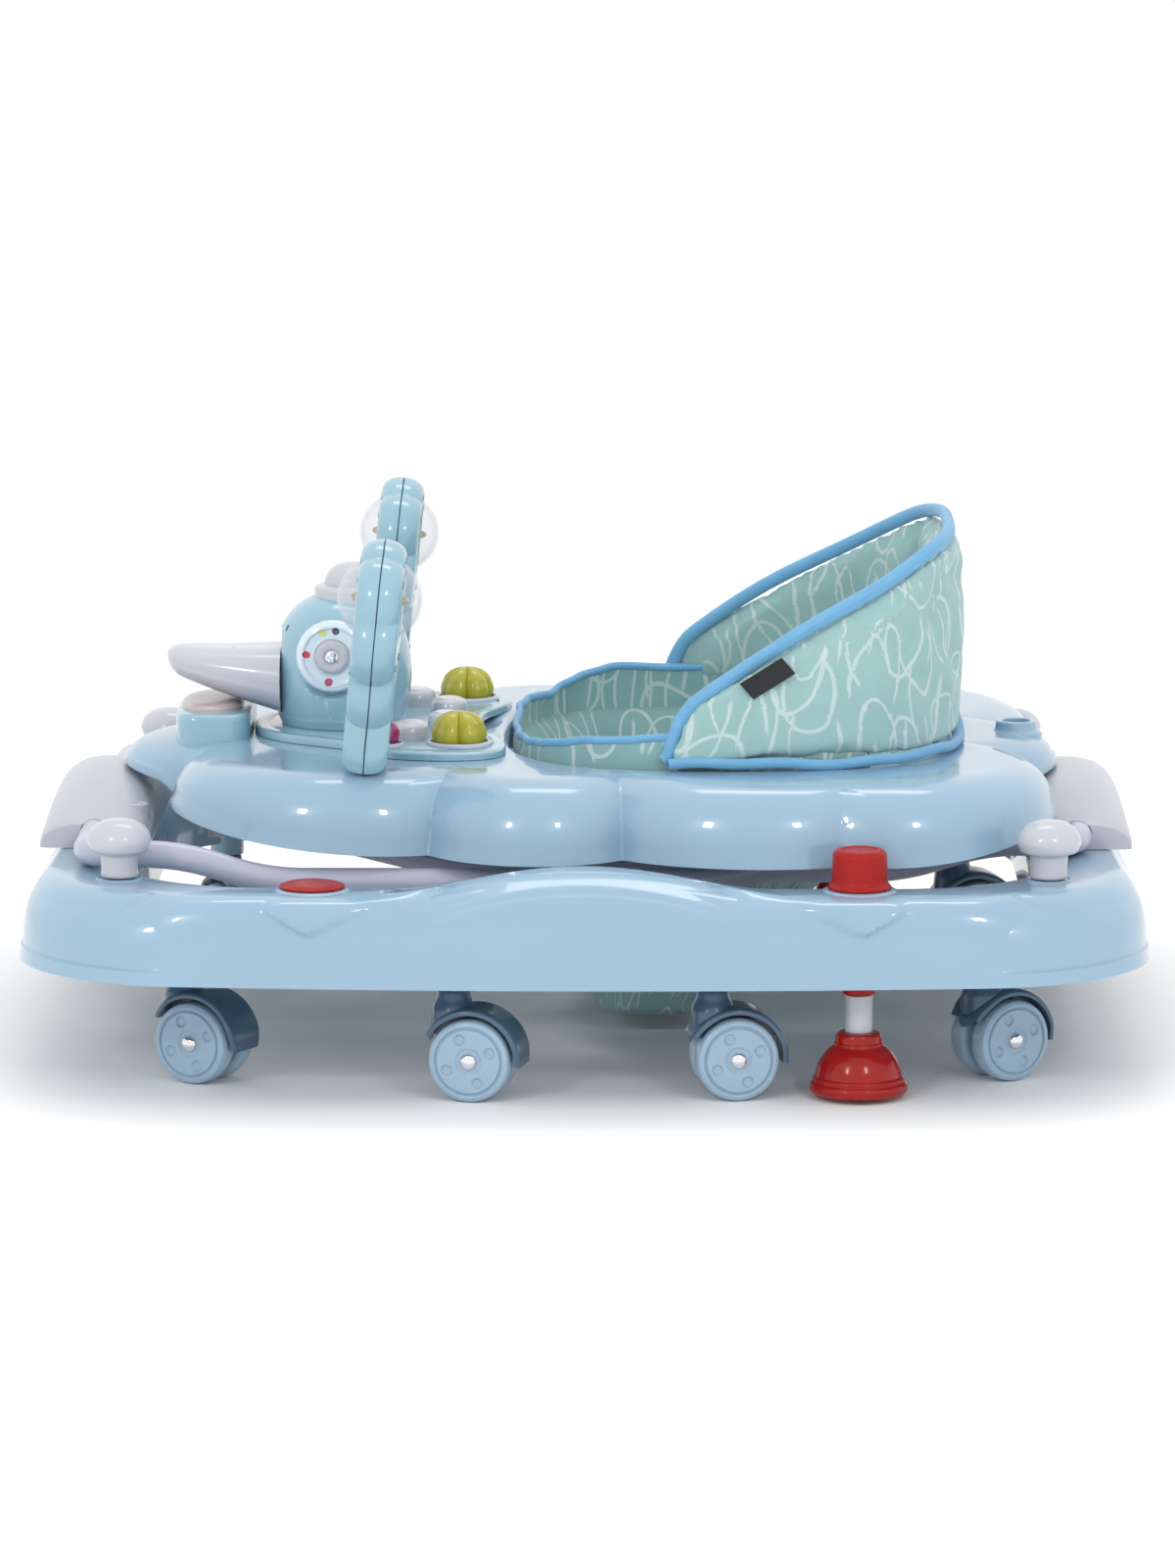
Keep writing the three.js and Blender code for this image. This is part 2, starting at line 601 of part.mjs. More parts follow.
// The seat hole at the angle that belongs to the same ray.
function holeReach(angle) {
  let reach = SEAT_HOLE_HALF_LENGTH + SEAT_HOLE_X - TRAY_CENTRE_X;
  for (let i = 0; i < 40; i++) {
    const x = (TRAY_CENTRE_X + reach * Math.cos(angle) - SEAT_HOLE_X) / SEAT_HOLE_HALF_LENGTH;
    const y = (reach * Math.sin(angle)) / SEAT_HOLE_HALF_WIDTH;
    reach /= (Math.abs(x) ** 3 + Math.abs(y) ** 3) ** (1 / 6);
  }
  return reach;
}

function trayShell() {
  const stations = 64;
  const rings = [];
  for (let i = 0; i < stations; i++) {
    const angle = (2 * Math.PI * i) / stations;
    const reach = trayReach(angle);
    const hole = holeReach(angle);
    const rim = trayRim(TRAY_CENTRE_X + reach * Math.cos(angle), reach * Math.sin(angle));
    const spot = (radius, z) =>
      new THREE.Vector3(TRAY_CENTRE_X + radius * Math.cos(angle), radius * Math.sin(angle), z);
    const ring = [];
    for (const wall of [0, TRAY_WALL]) {
      const skin = [];
      for (let j = 0; j <= 4; j++) {
        const turn = (Math.PI * j) / 8;
        const inward = (TRAY_SHOULDER - wall) * (1 - squared(Math.cos(turn), 2.6));
        const up = (TRAY_TOP_Z - wall - rim) * squared(Math.sin(turn), 2.6);
        skin.push(spot(reach - wall - inward, rim + up));
      }
      skin.push(spot(hole + 10, TRAY_TOP_Z - wall));
      skin.push(spot(hole + 2 + wall * 0.7, TRAY_TOP_Z - 3 - wall * 0.7));
      skin.push(spot(hole + wall, TRAY_TOP_Z - SEAT_HOLE_LIP));
      ring.push(...(wall ? skin.reverse() : skin));
    }
    rings.push(ring);
  }
  const socket = post(REAR_SOCKET_R, TRAY_TOP_Z - TRAY_WALL / 2, TRAY_TOP_Z + REAR_SOCKET_HEIGHT);
  const bore = post(REAR_SOCKET_BORE_R, TRAY_TOP_Z - 20, TRAY_TOP_Z + REAR_SOCKET_HEIGHT + CUT);
  return solid(loft(rings, true))
    .add(solid(socket.translate(REAR_SOCKET_X, 0, 0)))
    .subtract(solid(bore.translate(REAR_SOCKET_X, 0, 0)));
}
addPart("tray_shell", trayShell(), BLUE);

// Brackets under the tray: a bore for the front tube's pin, a long slot for the rear tube's pin.
function trayBracket(pinX, travel, side, legY) {
  const top = TRAY_TOP_Z - TRAY_WALL - GAP;
  const radius = TUBE_PIN_R + RUN;
  const [start, end] = [pinX - BRACKET_MARGIN, pinX + travel + BRACKET_MARGIN];
  const slope = Math.min(26, (end - start) / 2 - 2);
  const drop = 13;
  const shape = new THREE.Shape();
  shape.moveTo(start, top - drop);
  shape.lineTo(start, BRACKET_BOTTOM_Z);
  shape.lineTo(end, BRACKET_BOTTOM_Z);
  shape.lineTo(end, top - drop);
  shape.lineTo(end - slope, top);
  shape.lineTo(start + slope, top);
  shape.closePath();
  const slot = new THREE.Path();
  slot.absarc(pinX + travel, TRAY_PIN_Z, radius, -Math.PI / 2, Math.PI / 2, false);
  slot.absarc(pinX, TRAY_PIN_Z, radius, Math.PI / 2, (3 * Math.PI) / 2, false);
  shape.holes.push(slot);
  const cheek = slab(shape, BRACKET_THICKNESS, 6);
  const inward = side * (legY - TUBE_R - BRACKET_TO_TUBE - BRACKET_THICKNESS / 2);
  return solid(cheek.translate(0, inward, 0));
}
for (const side of [-1, 1]) {
  const where = side < 0 ? "near" : "far";
  addPart(`${where}_slide_bracket`, trayBracket(-TRAY_PIN_X, SLIDE_TRAVEL, side, REAR_TUBE_Y), WHITE);
  addPart(`${where}_pivot_bracket`, trayBracket(TRAY_PIN_X, 0.01, side, FRONT_TUBE_Y), WHITE);
}

// ---------------------------------------------------------------- seat
// The upright pad is a U in plan that leans inwards, low at the front ends and high at the back.
function seatPad() {
  const stations = 28;
  const rings = [];
  const bottom = TRAY_TOP_Z + GAP;
  const middleX = (SEAT_REAR_X + SEAT_FRONT_X) / 2;
  for (let i = 0; i <= stations; i++) {
    const t = (2 * i) / stations - 1;
    const turn = (t * Math.PI) / 2;
    const back = squared(Math.cos(turn), 3.2);
    const x = SEAT_FRONT_X + (SEAT_REAR_X - SEAT_FRONT_X) * back;
    const y = SEAT_HALF_WIDTH * squared(Math.sin(turn), 3.2);
    const share = (x - SEAT_FRONT_X) / (SEAT_REAR_X - SEAT_FRONT_X);
    const height = SEAT_FRONT_HEIGHT + (SEAT_BACK_HEIGHT - SEAT_FRONT_HEIGHT) * share ** 0.85;
    const outward = new THREE.Vector2((x - middleX) / (SEAT_REAR_X - middleX), y / SEAT_HALF_WIDTH);
    outward.set(Math.max(outward.x, 0) ** 3, Math.sign(outward.y) * Math.abs(outward.y) ** 3).normalize();
    const point = (depth, up) => {
      const lean = (SEAT_LEAN * up) / SEAT_BACK_HEIGHT;
      const leanY = -Math.sign(y) * lean * Math.abs(outward.y);
      return new THREE.Vector3(x - depth * outward.x, y - depth * outward.y + leanY, bottom + up);
    };
    rings.push([
      point(1, 0), point(0, height * 0.5), point(2, height - 3), point(SEAT_THICKNESS / 2, height),
      point(SEAT_THICKNESS - 2, height - 3), point(SEAT_THICKNESS, height * 0.5), point(SEAT_THICKNESS - 1, 0),
    ]);
  }
  return solid(loft(rings, false));
}
addPart("seat_back_pad", seatPad(), MINT);

// The sling hangs through the hole to just above the floor, with a leg hole on each side in front.
function seatSling() {
  const stations = 28;
  const levels = 5;
  const rings = [];
  const top = TRAY_TOP_Z - SEAT_HOLE_LIP + 6;
  for (let i = 0; i < stations; i++) {
    const angle = (2 * Math.PI * i) / stations;
    const [cx, sy] = [squared(Math.cos(angle), 3), squared(Math.sin(angle), 3)];
    const ring = [];
    for (const wall of [0, BAG_WALL]) {
      const skin = [];
      for (let j = 0; j <= levels; j++) {
        const share = j / levels;
        const narrow = share ** 0.65;
        const mix = (wide, tight) => wide + (tight - wide) * narrow - wall;
        const x = SEAT_HOLE_X + (BAG_BOTTOM_X - SEAT_HOLE_X) * share;
        const halfLength = mix(SEAT_HOLE_HALF_LENGTH - BAG_TO_HOLE, BAG_BOTTOM_HALF_LENGTH);
        const halfWidth = mix(SEAT_HOLE_HALF_WIDTH - BAG_TO_HOLE, BAG_BOTTOM_HALF_WIDTH);
        const z = top + (BAG_BOTTOM_Z + 14 - top) * share ** 0.8 + (j === levels ? wall * 0.3 : 0);
        skin.push(new THREE.Vector3(x + halfLength * cx, halfWidth * sy, z));
      }
      const under = BAG_BOTTOM_Z + wall;
      skin.push(new THREE.Vector3(
        BAG_BOTTOM_X + (BAG_BOTTOM_HALF_LENGTH - 14) * cx, (BAG_BOTTOM_HALF_WIDTH - 16) * sy, under,
      ));
      ring.push(skin);
    }
    rings.push(ring);
  }
  const points = rings.flatMap(([outer, inner]) => [...outer, ...inner]);
  const perRing = points.length / stations;
  const perSkin = perRing / 2;
  const index = [];
  for (let i = 0; i < stations; i++) {
    const here = i * perRing;
    const next = ((i + 1) % stations) * perRing;
    for (let j = 0; j < perSkin - 1; j++) {
      index.push(here + j, here + j + 1, next + j + 1, here + j, next + j + 1, next + j);
      const inner = perSkin + j;
      index.push(here + inner, next + inner + 1, here + inner + 1, here + inner, next + inner, next + inner + 1);
    }
    index.push(here, next, next + perSkin, here, next + perSkin, here + perSkin);
    const [outerEnd, innerEnd] = [perSkin - 1, perRing - 1];
    const [floor, inside] = [points.length, points.length + 1];
    index.push(floor, next + outerEnd, here + outerEnd, inside, here + innerEnd, next + innerEnd);
  }
  points.push(new THREE.Vector3(BAG_BOTTOM_X, 0, BAG_BOTTOM_Z));
  points.push(new THREE.Vector3(BAG_BOTTOM_X, 0, BAG_BOTTOM_Z + BAG_WALL));
  const bag = solid(new THREE.BufferGeometry().setFromPoints(points).setIndex(index));
  const legHoles = [-1, 1].map((side) => {
    const leg = new THREE.CylinderGeometry(LEG_HOLE_R, LEG_HOLE_R, 150, 20);
    return solid(leg.rotateZ(Math.PI / 2).rotateZ(-side * 0.5).translate(-20, side * 80, 98));
  });
  return bag.subtract(union(legHoles));
}
addPart("seat_sling", seatSling(), MINT);

// ---------------------------------------------------------------- toy console
const deck = TRAY_TOP_Z + GAP;
const consoleTop = deck + CONSOLE_HEIGHT;
const onConsole = consoleTop + GAP;

function consolePlate() {
  const shape = new THREE.Shape();
  shape.moveTo(-214, 0);
  shape.bezierCurveTo(-214, -62, -170, -70, -150, -92);
  shape.bezierCurveTo(-138, -128, -96, -142, -66, -130);
  shape.bezierCurveTo(-40, -116, -52, -70, -64, -46);
  shape.bezierCurveTo(-72, -20, -72, 20, -64, 46);
  shape.bezierCurveTo(-52, 70, -40, 116, -66, 130);
  shape.bezierCurveTo(-96, 142, -138, 128, -150, 92);
  shape.bezierCurveTo(-170, 70, -214, 62, -214, 0);
  const wells = KEY_SPOTS.map(([x, y]) => {
    const well = post(1, consoleTop - KEY_SUNK - KEY_TRAVEL - GAP, consoleTop + CUT, 16);
    return solid(well.scale(KEY_HALF_LENGTH + RUN, KEY_HALF_WIDTH + RUN, 1).translate(x, y, 0));
  });
  return solid(plate(shape, deck, CONSOLE_HEIGHT, 8)).subtract(union(wells));
}
addPart("console_plate", consolePlate(), AQUA);

// A duck's head, flat where each eye turns.
const headShape = [[0, 0], [0.86, 0], [0.95, 0.14], [1, 0.34], [0.98, 0.52], [0.86, 0.74], [0.62, 0.9], [0.32, 0.98], [0, 1]];
const headBlank = turned(headShape.map(([radius, up]) => [radius, up * HEAD_HEIGHT]), 24)
  .scale(HEAD_HALF_LENGTH, HEAD_HALF_WIDTH, 1)
  .translate(HEAD_X, 0, onConsole);
const eyeFlat = (side) => {
  const flat = new THREE.CylinderGeometry(EYE_RING_R + 2, EYE_RING_R + 2, 30, 16);
  return solid(flat.translate(EYE_X, side * (EYE_FACE_Y + 15), EYE_Z));
};
const hatSeat = onConsole + HEAD_HEIGHT - 4;
const hatRoom = solid(post(HAT_R + RUN, hatSeat, hatSeat + 40, 16).translate(HAT_X, 0, 0));
const beakRoom = new THREE.BoxGeometry(60, 120, 60).translate(BEAK_ROOT_X + 5 - 30, 0, EYE_Z - 14);
addPart(
  "duck_head",
  solid(headBlank).subtract(union([eyeFlat(-1), eyeFlat(1), hatRoom, solid(beakRoom)])),
  AQUA,
);

// The bill: flat oval sections from a thin tip to a deep root.
function beak() {
  const rings = [];
  const [stations, sides] = [6, 16];
  for (let i = 0; i <= stations; i++) {
    const share = i / stations;
    const x = BEAK_TIP_X + (BEAK_ROOT_X + 4.7 - BEAK_TIP_X) * share;
    const width = BEAK_HALF_WIDTH * (0.3 + 0.7 * Math.sqrt(share));
    const top = 233 + 8 * Math.sqrt(share);
    const bottom = 230 - 22 * share ** 0.8;
    const ring = [];
    for (let j = 0; j < sides; j++) {
      const angle = (2 * Math.PI * j) / sides;
      const y = width * squared(Math.cos(angle), 2.4);
      const z = (top + bottom) / 2 + ((top - bottom) / 2) * squared(Math.sin(angle), 2.4);
      ring.push(new THREE.Vector3(x, y, z));
    }
    rings.push(ring);
  }
  return solid(loft(rings, false));
}
addPart("duck_beak", beak(), WHITE);
const hatBottom = hatSeat + GAP;
const hat = turned([[0, hatBottom], [HAT_R, hatBottom], [HAT_R, hatBottom + 9], [HAT_R * 0.85, hatBottom + 16],
  [HAT_R * 0.45, hatBottom + 21], [0, hatBottom + 23]]);
addPart("duck_hat", solid(hat.translate(HAT_X, 0, 0)), WHITE);

// Each eye is a ring that spins on a fixed hub.
for (const side of [-1, 1]) {
  const where = side < 0 ? "near" : "far";
  const place = (shape) => solid(shape.rotateX(-side * Math.PI / 2)
    .translate(EYE_X, side * (EYE_FACE_Y + GAP), EYE_Z));
  const bore = EYE_HUB_R - 3 + RUN;
  const ring = turned([
    [bore, 0], [EYE_RING_R, 0], [EYE_RING_R, EYE_RING_THICKNESS - 3],
    [EYE_RING_R - 4, EYE_RING_THICKNESS], [bore, EYE_RING_THICKNESS - 2], [bore, 0],
  ]);
  const hub = turned([
    [0, 0], [EYE_HUB_R - 3, 0], [EYE_HUB_R - 3, EYE_RING_THICKNESS], [EYE_HUB_R, EYE_RING_THICKNESS],
    [EYE_HUB_R * 0.8, EYE_HUB_THICKNESS], [0, EYE_HUB_THICKNESS + 1],
  ]);
  addPart(`${where}_eye_spinner`, place(ring), CLEAR);
  addPart(`${where}_eye_hub`, place(hub), WHITE);
}

// Two cloud-shaped arms, each with a clear globe that turns on a pin.
for (const side of [-1, 1]) {
  const where = side < 0 ? "near" : "far";
  const puffs = [[0, 14, 27], [0, 50, 32], [-22, 82, 27], [22, 82, 27], [-20, 108, 27], [20, 108, 27], [0, 116, 28]];
  const ballRoom = GLOBE_R + 1;
  const upright = (radius, y, z, thickness) =>
    solid(new THREE.CylinderGeometry(radius, radius, thickness, 16).rotateZ(Math.PI / 2).translate(0, y, z));
  const cloud = union(puffs.map(([y, z, radius]) => upright(radius, y, z, ARM_THICKNESS)));
  const below = solid(new THREE.BoxGeometry(60, 120, 60).translate(0, 0, -30));
  const turnGlobe = (geometry) => solid(geometry.translate(0, 0, GLOBE_HEIGHT));
  const lean = (shape) => shape.rotate([0, THREE.MathUtils.radToDeg(ARM_LEAN), 0])
    .translate([ARM_X, side * ARM_Y, deck]);
  const opening = upright(ballRoom, 0, GLOBE_HEIGHT, ARM_THICKNESS + 2);
  const foot = solid(new THREE.BoxGeometry(120, 200, 40).translate(ARM_X, side * ARM_Y, deck - 20));
  addPart(`${where}_cloud_arm`, lean(cloud.subtract(union([below, opening]))).subtract(foot), AQUA);
  const arc = (radius, edge) => {
    const points = [];
    const start = Math.asin(edge / radius);
    for (let j = 0; j <= 6; j++) {
      const angle = start + ((Math.PI - 2 * start) * j) / 6;
      points.push([radius * Math.sin(angle), -radius * Math.cos(angle)]);
    }
    return points;
  };
  const hole = GLOBE_PIN_R + GAP;
  const shell = [...arc(GLOBE_R, hole), ...arc(GLOBE_R - GLOBE_WALL, hole).reverse()];
  const globe = turned([...shell, shell[0]]).rotateX(Math.PI / 2);
  addPart(`${where}_globe`, lean(turnGlobe(globe)), CLEAR);
  const pinHalf = ballRoom - GAP - GLOBE_PIN_R * Math.tan(Math.PI / 16);
  const picture = turned([
    [0, -pinHalf], [GLOBE_PIN_R, -pinHalf], [GLOBE_PIN_R, pinHalf], [0, pinHalf],
  ], 8).rotateX(Math.PI / 2);
  const face = new THREE.CylinderGeometry(GLOBE_DISC_R, GLOBE_DISC_R, 3, 16);
  const disc = turnGlobe(picture).add(turnGlobe(face.rotateX(Math.PI / 2)));
  addPart(`${where}_globe_disc`, lean(disc), ORANGE);
}

// Flower knobs, a rolling ball and four press keys
for (const side of [-1, 1]) {
  const petals = [];
  for (let i = 0; i < 5; i++) {
    const angle = (2 * Math.PI * i) / 5 + Math.PI / 2;
    const petal = turned([[0, 0], [6.5, 0], [8, 6], [7, 13], [0, 16.5]], 8);
    petals.push(solid(petal.translate((FLOWER_R - 8) * Math.cos(angle), (FLOWER_R - 8) * Math.sin(angle), 0)));
  }
  const middle = turned([[0, 0], [11, 0], [11, 12], [7, FLOWER_HEIGHT - 2], [0, FLOWER_HEIGHT]]);
  const flower = union([...petals, solid(middle)]).translate([FLOWER_X, side * FLOWER_Y, onConsole]);
  addPart(`${side < 0 ? "near" : "far"}_flower_knob`, flower, YELLOW);
}
const ball = new THREE.SphereGeometry(BALL_R, 12, 8).rotateX(Math.PI / 2);
const ballFlat = solid(new THREE.BoxGeometry(40, 40, 20).translate(BALL_X, BALL_Y, onConsole - 10));
addPart("toy_ball", solid(ball.translate(BALL_X, BALL_Y, onConsole + BALL_R * 0.7)).subtract(ballFlat), MAGENTA);
KEY_SPOTS.forEach(([x, y], i) => {
  const bottom = consoleTop - KEY_SUNK;
  const key = turned([[0, 0], [1, 0], [1, 0.55], [0.86, 0.82], [0, 1]])
    .scale(KEY_HALF_LENGTH, KEY_HALF_WIDTH, KEY_HEIGHT)
    .translate(x, y, bottom);
  addPart(`press_key_${i + 1}`, solid(key), WHITE);
});

export default walker;
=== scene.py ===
# A folding baby walker, folded flat: a rolling base, two crossed tubes, a tray with a toy console and a
# fabric seat.
import math
import bmesh
import bpy
import numpy as np
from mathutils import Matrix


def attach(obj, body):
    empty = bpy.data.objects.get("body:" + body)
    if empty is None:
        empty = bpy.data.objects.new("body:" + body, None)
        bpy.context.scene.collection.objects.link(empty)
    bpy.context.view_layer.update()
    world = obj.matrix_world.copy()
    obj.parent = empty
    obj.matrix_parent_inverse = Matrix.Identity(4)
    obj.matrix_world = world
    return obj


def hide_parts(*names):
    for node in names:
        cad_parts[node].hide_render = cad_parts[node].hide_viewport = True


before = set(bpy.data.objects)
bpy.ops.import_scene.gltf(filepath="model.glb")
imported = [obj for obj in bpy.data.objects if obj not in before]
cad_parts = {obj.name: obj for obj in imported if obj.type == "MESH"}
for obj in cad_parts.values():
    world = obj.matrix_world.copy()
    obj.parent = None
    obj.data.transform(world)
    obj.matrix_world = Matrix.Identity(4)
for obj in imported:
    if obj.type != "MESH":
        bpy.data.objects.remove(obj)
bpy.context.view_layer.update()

# ------------------------------------------------------------ camera
# A long lens a little above the tray, almost square to the long side of the walker.
camera_data = bpy.data.cameras.new("camera")
camera_data.lens = 161.11
camera_data.sensor_width = 36
camera_data.clip_end = 60
camera = bpy.data.objects.new("camera", camera_data)
camera.location = (0.0429, -4.4676, 0.8737)
camera.rotation_euler = (math.radians(80.8), 0, math.radians(0.55))
bpy.context.collection.objects.link(camera)
bpy.context.scene.camera = camera
bpy.context.scene.view_settings.view_transform = "Standard"

# ------------------------------------------------------------ studio
# A plain pale floor under soft light: two square softboxes in front, one above, and a bright white room.
MM = 0.001


def joined(operation):
    """A method that feeds its operands to the Math node of that operation."""
    def method(first, *others):
        return first.combine(operation, first, *others)
    return method


def joined_after(operation):
    """The same for a plain number that stands in front, as in 1 - wire."""
    def method(second, first):
        return second.combine(operation, first, second)
    return method


class Wire:
    """A shader socket with arithmetic: each operator adds the Math node of the same name."""

    def __init__(self, finish, socket):
        self.finish, self.socket = finish, socket

    def combine(self, operation, *values):
        inputs = {i: value for i, value in enumerate(values)}
        return self.finish.node("ShaderNodeMath", {"operation": operation}, inputs)

    __add__ = joined("ADD")
    __radd__ = joined_after("ADD")
    __sub__ = joined("SUBTRACT")
    __rsub__ = joined_after("SUBTRACT")
    __mul__ = joined("MULTIPLY")
    __rmul__ = joined_after("MULTIPLY")
    __truediv__ = joined("DIVIDE")
    __abs__ = joined("ABSOLUTE")
    most = joined("MAXIMUM")
    sine = joined("SINE")
    whole = joined("FLOOR")
    part = joined("FRACT")
    root = joined("SQRT")


class Finish:
    """One material: a Principled shader, and the nodes that feed it."""

    def __init__(self, name, colour, roughness, **fixed):
        self.material = bpy.data.materials.new(name)
        self.material.use_nodes = True
        self.tree = self.material.node_tree
        self.shader = self.tree.nodes["Principled BSDF"]
        self.material.diffuse_color = (*colour, 1)
        self.colour = colour
        self.feed(Base_Color=(*colour, 1), Roughness=roughness, **fixed)

    def node(self, kind, settings=(), inputs=(), output=0):
        """A node of that kind, its settings made first, then its inputs by name or number."""
        made = self.tree.nodes.new(kind)
        for key, value in dict(settings).items():
            setattr(made, key, value)
        for key, value in dict(inputs).items():
            self.join(made.inputs[key], value)
        return Wire(self, made.outputs[output])

    def join(self, socket, value):
        if isinstance(value, Wire):
            self.tree.links.new(value.socket, socket)
        else:
            socket.default_value = value

    def feed(self, **values):
        for key, value in values.items():
            self.join(self.shader.inputs[key.replace("_", " ")], value)

    def place(self):
        """The point of the surface in the walker's own frame, in metres."""
        return self.node("ShaderNodeTexCoord", output="Object")

    def along(self, point, axis):
        return self.node("ShaderNodeSeparateXYZ", inputs={0: point}, output=axis)

    def mixed(self, share, first, second):
        """A colour between two, by share."""
        settings = {"data_type": "RGBA", "clamp_factor": True}
        return self.node("ShaderNodeMix", settings, {0: share, 6: first, 7: second}, output=2)

    def noise(self, point, scale, detail=3.0, rough=0.5):
        inputs = {"Vector": point, "Scale": scale, "Detail": detail, "Roughness": rough}
        return self.node("ShaderNodeTexNoise", inputs=inputs)

    def step(self, value, start, end):
        """0 before start, 1 after end, and smooth between them."""
        settings = {"interpolation_type": "SMOOTHSTEP"}
        inputs = {"Value": value, "From Min": start, "From Max": end}
        return self.node("ShaderNodeMapRange", settings, inputs)

    def raise_surface(self, height, strength, distance):
        inputs = {"Height": height, "Strength": strength, "Distance": distance}
        self.feed(Normal=self.node("ShaderNodeBump", inputs=inputs))


def shaded(colour, factor):
    """A colour made darker or lighter, as red, green, blue and 1."""
    return tuple(min(channel * factor, 1) for channel in colour) + (1,)


def moulded(name, colour, roughness, grain=1.0, mottle=0.05, **fixed):
    """Moulded plastic: a faint flow mottle, polish that varies a little, and an orange-peel skin."""
    finish = Finish(name, colour, roughness, **fixed)
    point = finish.place()
    flow = finish.noise(point, 14.0, 4.0)
    finish.feed(
        Base_Color=finish.mixed(flow, shaded(colour, 1 - mottle), shaded(colour, 1 + mottle)),
        Roughness=roughness + (flow - 0.5) * 0.08,
    )
    finish.raise_surface(finish.noise(point, 150.0, 1.0), 0.05 * grain, 0.0004)
    return finish.material


def shell(grid, loop_rows=False, loop_columns=False, ends=False, finish=0, uv=None):
    """A surface through a grid of points in millimetres, with its quads and the fans that close its ends."""
    rows, columns = grid.shape[:2]
    row, column = np.meshgrid(
        np.arange(rows - (not loop_rows)), np.arange(columns - (not loop_columns)), indexing="ij"
    )
    next_row, next_column = (row + 1) % rows, (column + 1) % columns
    quads = np.stack([
        row * columns + column, row * columns + next_column,
        next_row * columns + next_column, next_row * columns + column,
    ], -1).reshape(-1, 4)
    points = grid.reshape(-1, 3)
    fans = np.zeros((0, 3), int)
    if ends:
        around = np.arange(columns)
        beside = (around + 1) % columns
        last = (rows - 1) * columns
        middle = len(points)
        points = np.vstack([points, grid[0].mean(0), grid[-1].mean(0)])
        fans = np.vstack([
            np.stack([beside, around, np.full(columns, middle)], -1),
            np.stack([last + around, last + beside, np.full(columns, middle + 1)], -1),
        ])
    return {"points": points, "quads": quads, "fans": fans, "finish": finish, "uv": uv}


def build(name, shells, materials, sharp=38, weld=0.002):
    """One object from shells: its points are welded, its faces turned outwards, and edges past `sharp` degrees
    kept crisp."""
    mesh = bpy.data.meshes.new(name)
    points, faces, finishes, maps = [], [], [], []
    start = 0
    for part in shells:
        points.append(part["points"])
        faces += (part["quads"] + start).tolist() + (part["fans"] + start).tolist()
        count = len(part["quads"]) + len(part["fans"])
        finishes.append(np.full(count, part["finish"]))
        if part["uv"] is not None:
            corners = np.concatenate([part["quads"].ravel(), part["fans"].ravel()])
            flat = part["uv"].reshape(-1, 2)
            flat = np.vstack([flat, np.repeat(flat[-1:], max(len(part["points"]) - len(flat), 0), 0)])
            maps.append(flat[corners])
        start += len(part["points"])
    mesh.from_pydata((np.vstack(points) * MM).tolist(), [], faces)
    mesh.polygons.foreach_set("material_index", np.concatenate(finishes).astype(np.int32))
    if maps:
        layer = mesh.uv_layers.new(name="cloth")
        layer.data.foreach_set("uv", np.vstack(maps).ravel())
    tidy = bmesh.new()
    tidy.from_mesh(mesh)
    bmesh.ops.remove_doubles(tidy, verts=tidy.verts, dist=weld * MM)
    bmesh.ops.recalc_face_normals(tidy, faces=tidy.faces)
    tidy.to_mesh(mesh)
    tidy.free()
    mesh.polygons.foreach_set("use_smooth", np.ones(len(mesh.polygons), bool))
    mesh.set_sharp_from_angle(angle=math.radians(sharp))
    for material in materials:
        mesh.materials.append(material)
    made = bpy.data.objects.new(name, mesh)
    bpy.context.collection.objects.link(made)
    return made


def fit(made, body, slot, *nodes):
    """Puts a piece on its body and hides the CAD nodes that it stands for; `slot` is not used."""
    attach(made, body)
    if nodes:
        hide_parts(*nodes)
    return made


def full_turn(count):
    """Even angles round a circle, as a column."""
    return np.linspace(0, 2 * np.pi, count, endpoint=False)[:, None]


def spun(profile, centre=(0, 0, 0), sides=64, finish=0):
    """A body of revolution about the vertical through centre, from [radius, height] points in millimetres."""
    profile = np.array(profile, float)
    turn = full_turn(sides)
    radius, height = profile[:, 0][None], profile[:, 1][None]
    grid = np.stack([radius * np.cos(turn), radius * np.sin(turn), height + 0 * turn], -1)
    return shell(grid + np.array(centre, float), loop_rows=True, finish=finish)


def rounded(corners, radius=1.0, steps=4):
    """A profile of straight runs whose inner corners are rounded: each is a quadratic curve between its two
    sides."""
    corners = np.array(corners, float)
    out = [corners[0]]
    for before, here, after in zip(corners[:-2], corners[1:-1], corners[2:]):
        back, ahead = before - here, after - here
        reach = min(radius, 0.45 * np.linalg.norm(back), 0.45 * np.linalg.norm(ahead))
        enter = here + back / max(np.linalg.norm(back), 1e-9) * reach
        leave = here + ahead / max(np.linalg.norm(ahead), 1e-9) * reach
        share = np.linspace(0, 1, steps + 1)[:, None]
        out += list((1 - share) ** 2 * enter + 2 * share * (1 - share) * here + share ** 2 * leave)
    return np.array(out + [corners[-1]])


floor_grid = np.meshgrid(np.linspace(-30000, 30000, 7), np.linspace(-8000, 60000, 7), indexing="ij")
floor_grid = np.stack(floor_grid, -1)
floor_grid = np.concatenate([floor_grid, np.zeros(floor_grid.shape[:2] + (1,))], -1)
floor_finish = Finish("studio_floor", (0.955, 0.955, 0.955), 0.8, Specular_IOR_Level=0.2)
floor = build("studio_floor", [shell(floor_grid)], [floor_finish.material])

world = bpy.data.worlds.new("room")
world.use_nodes = True
world.node_tree.nodes["Background"].inputs[0].default_value = (1, 1, 1, 1)
world.node_tree.nodes["Background"].inputs[1].default_value = 1.06
bpy.context.scene.world = world


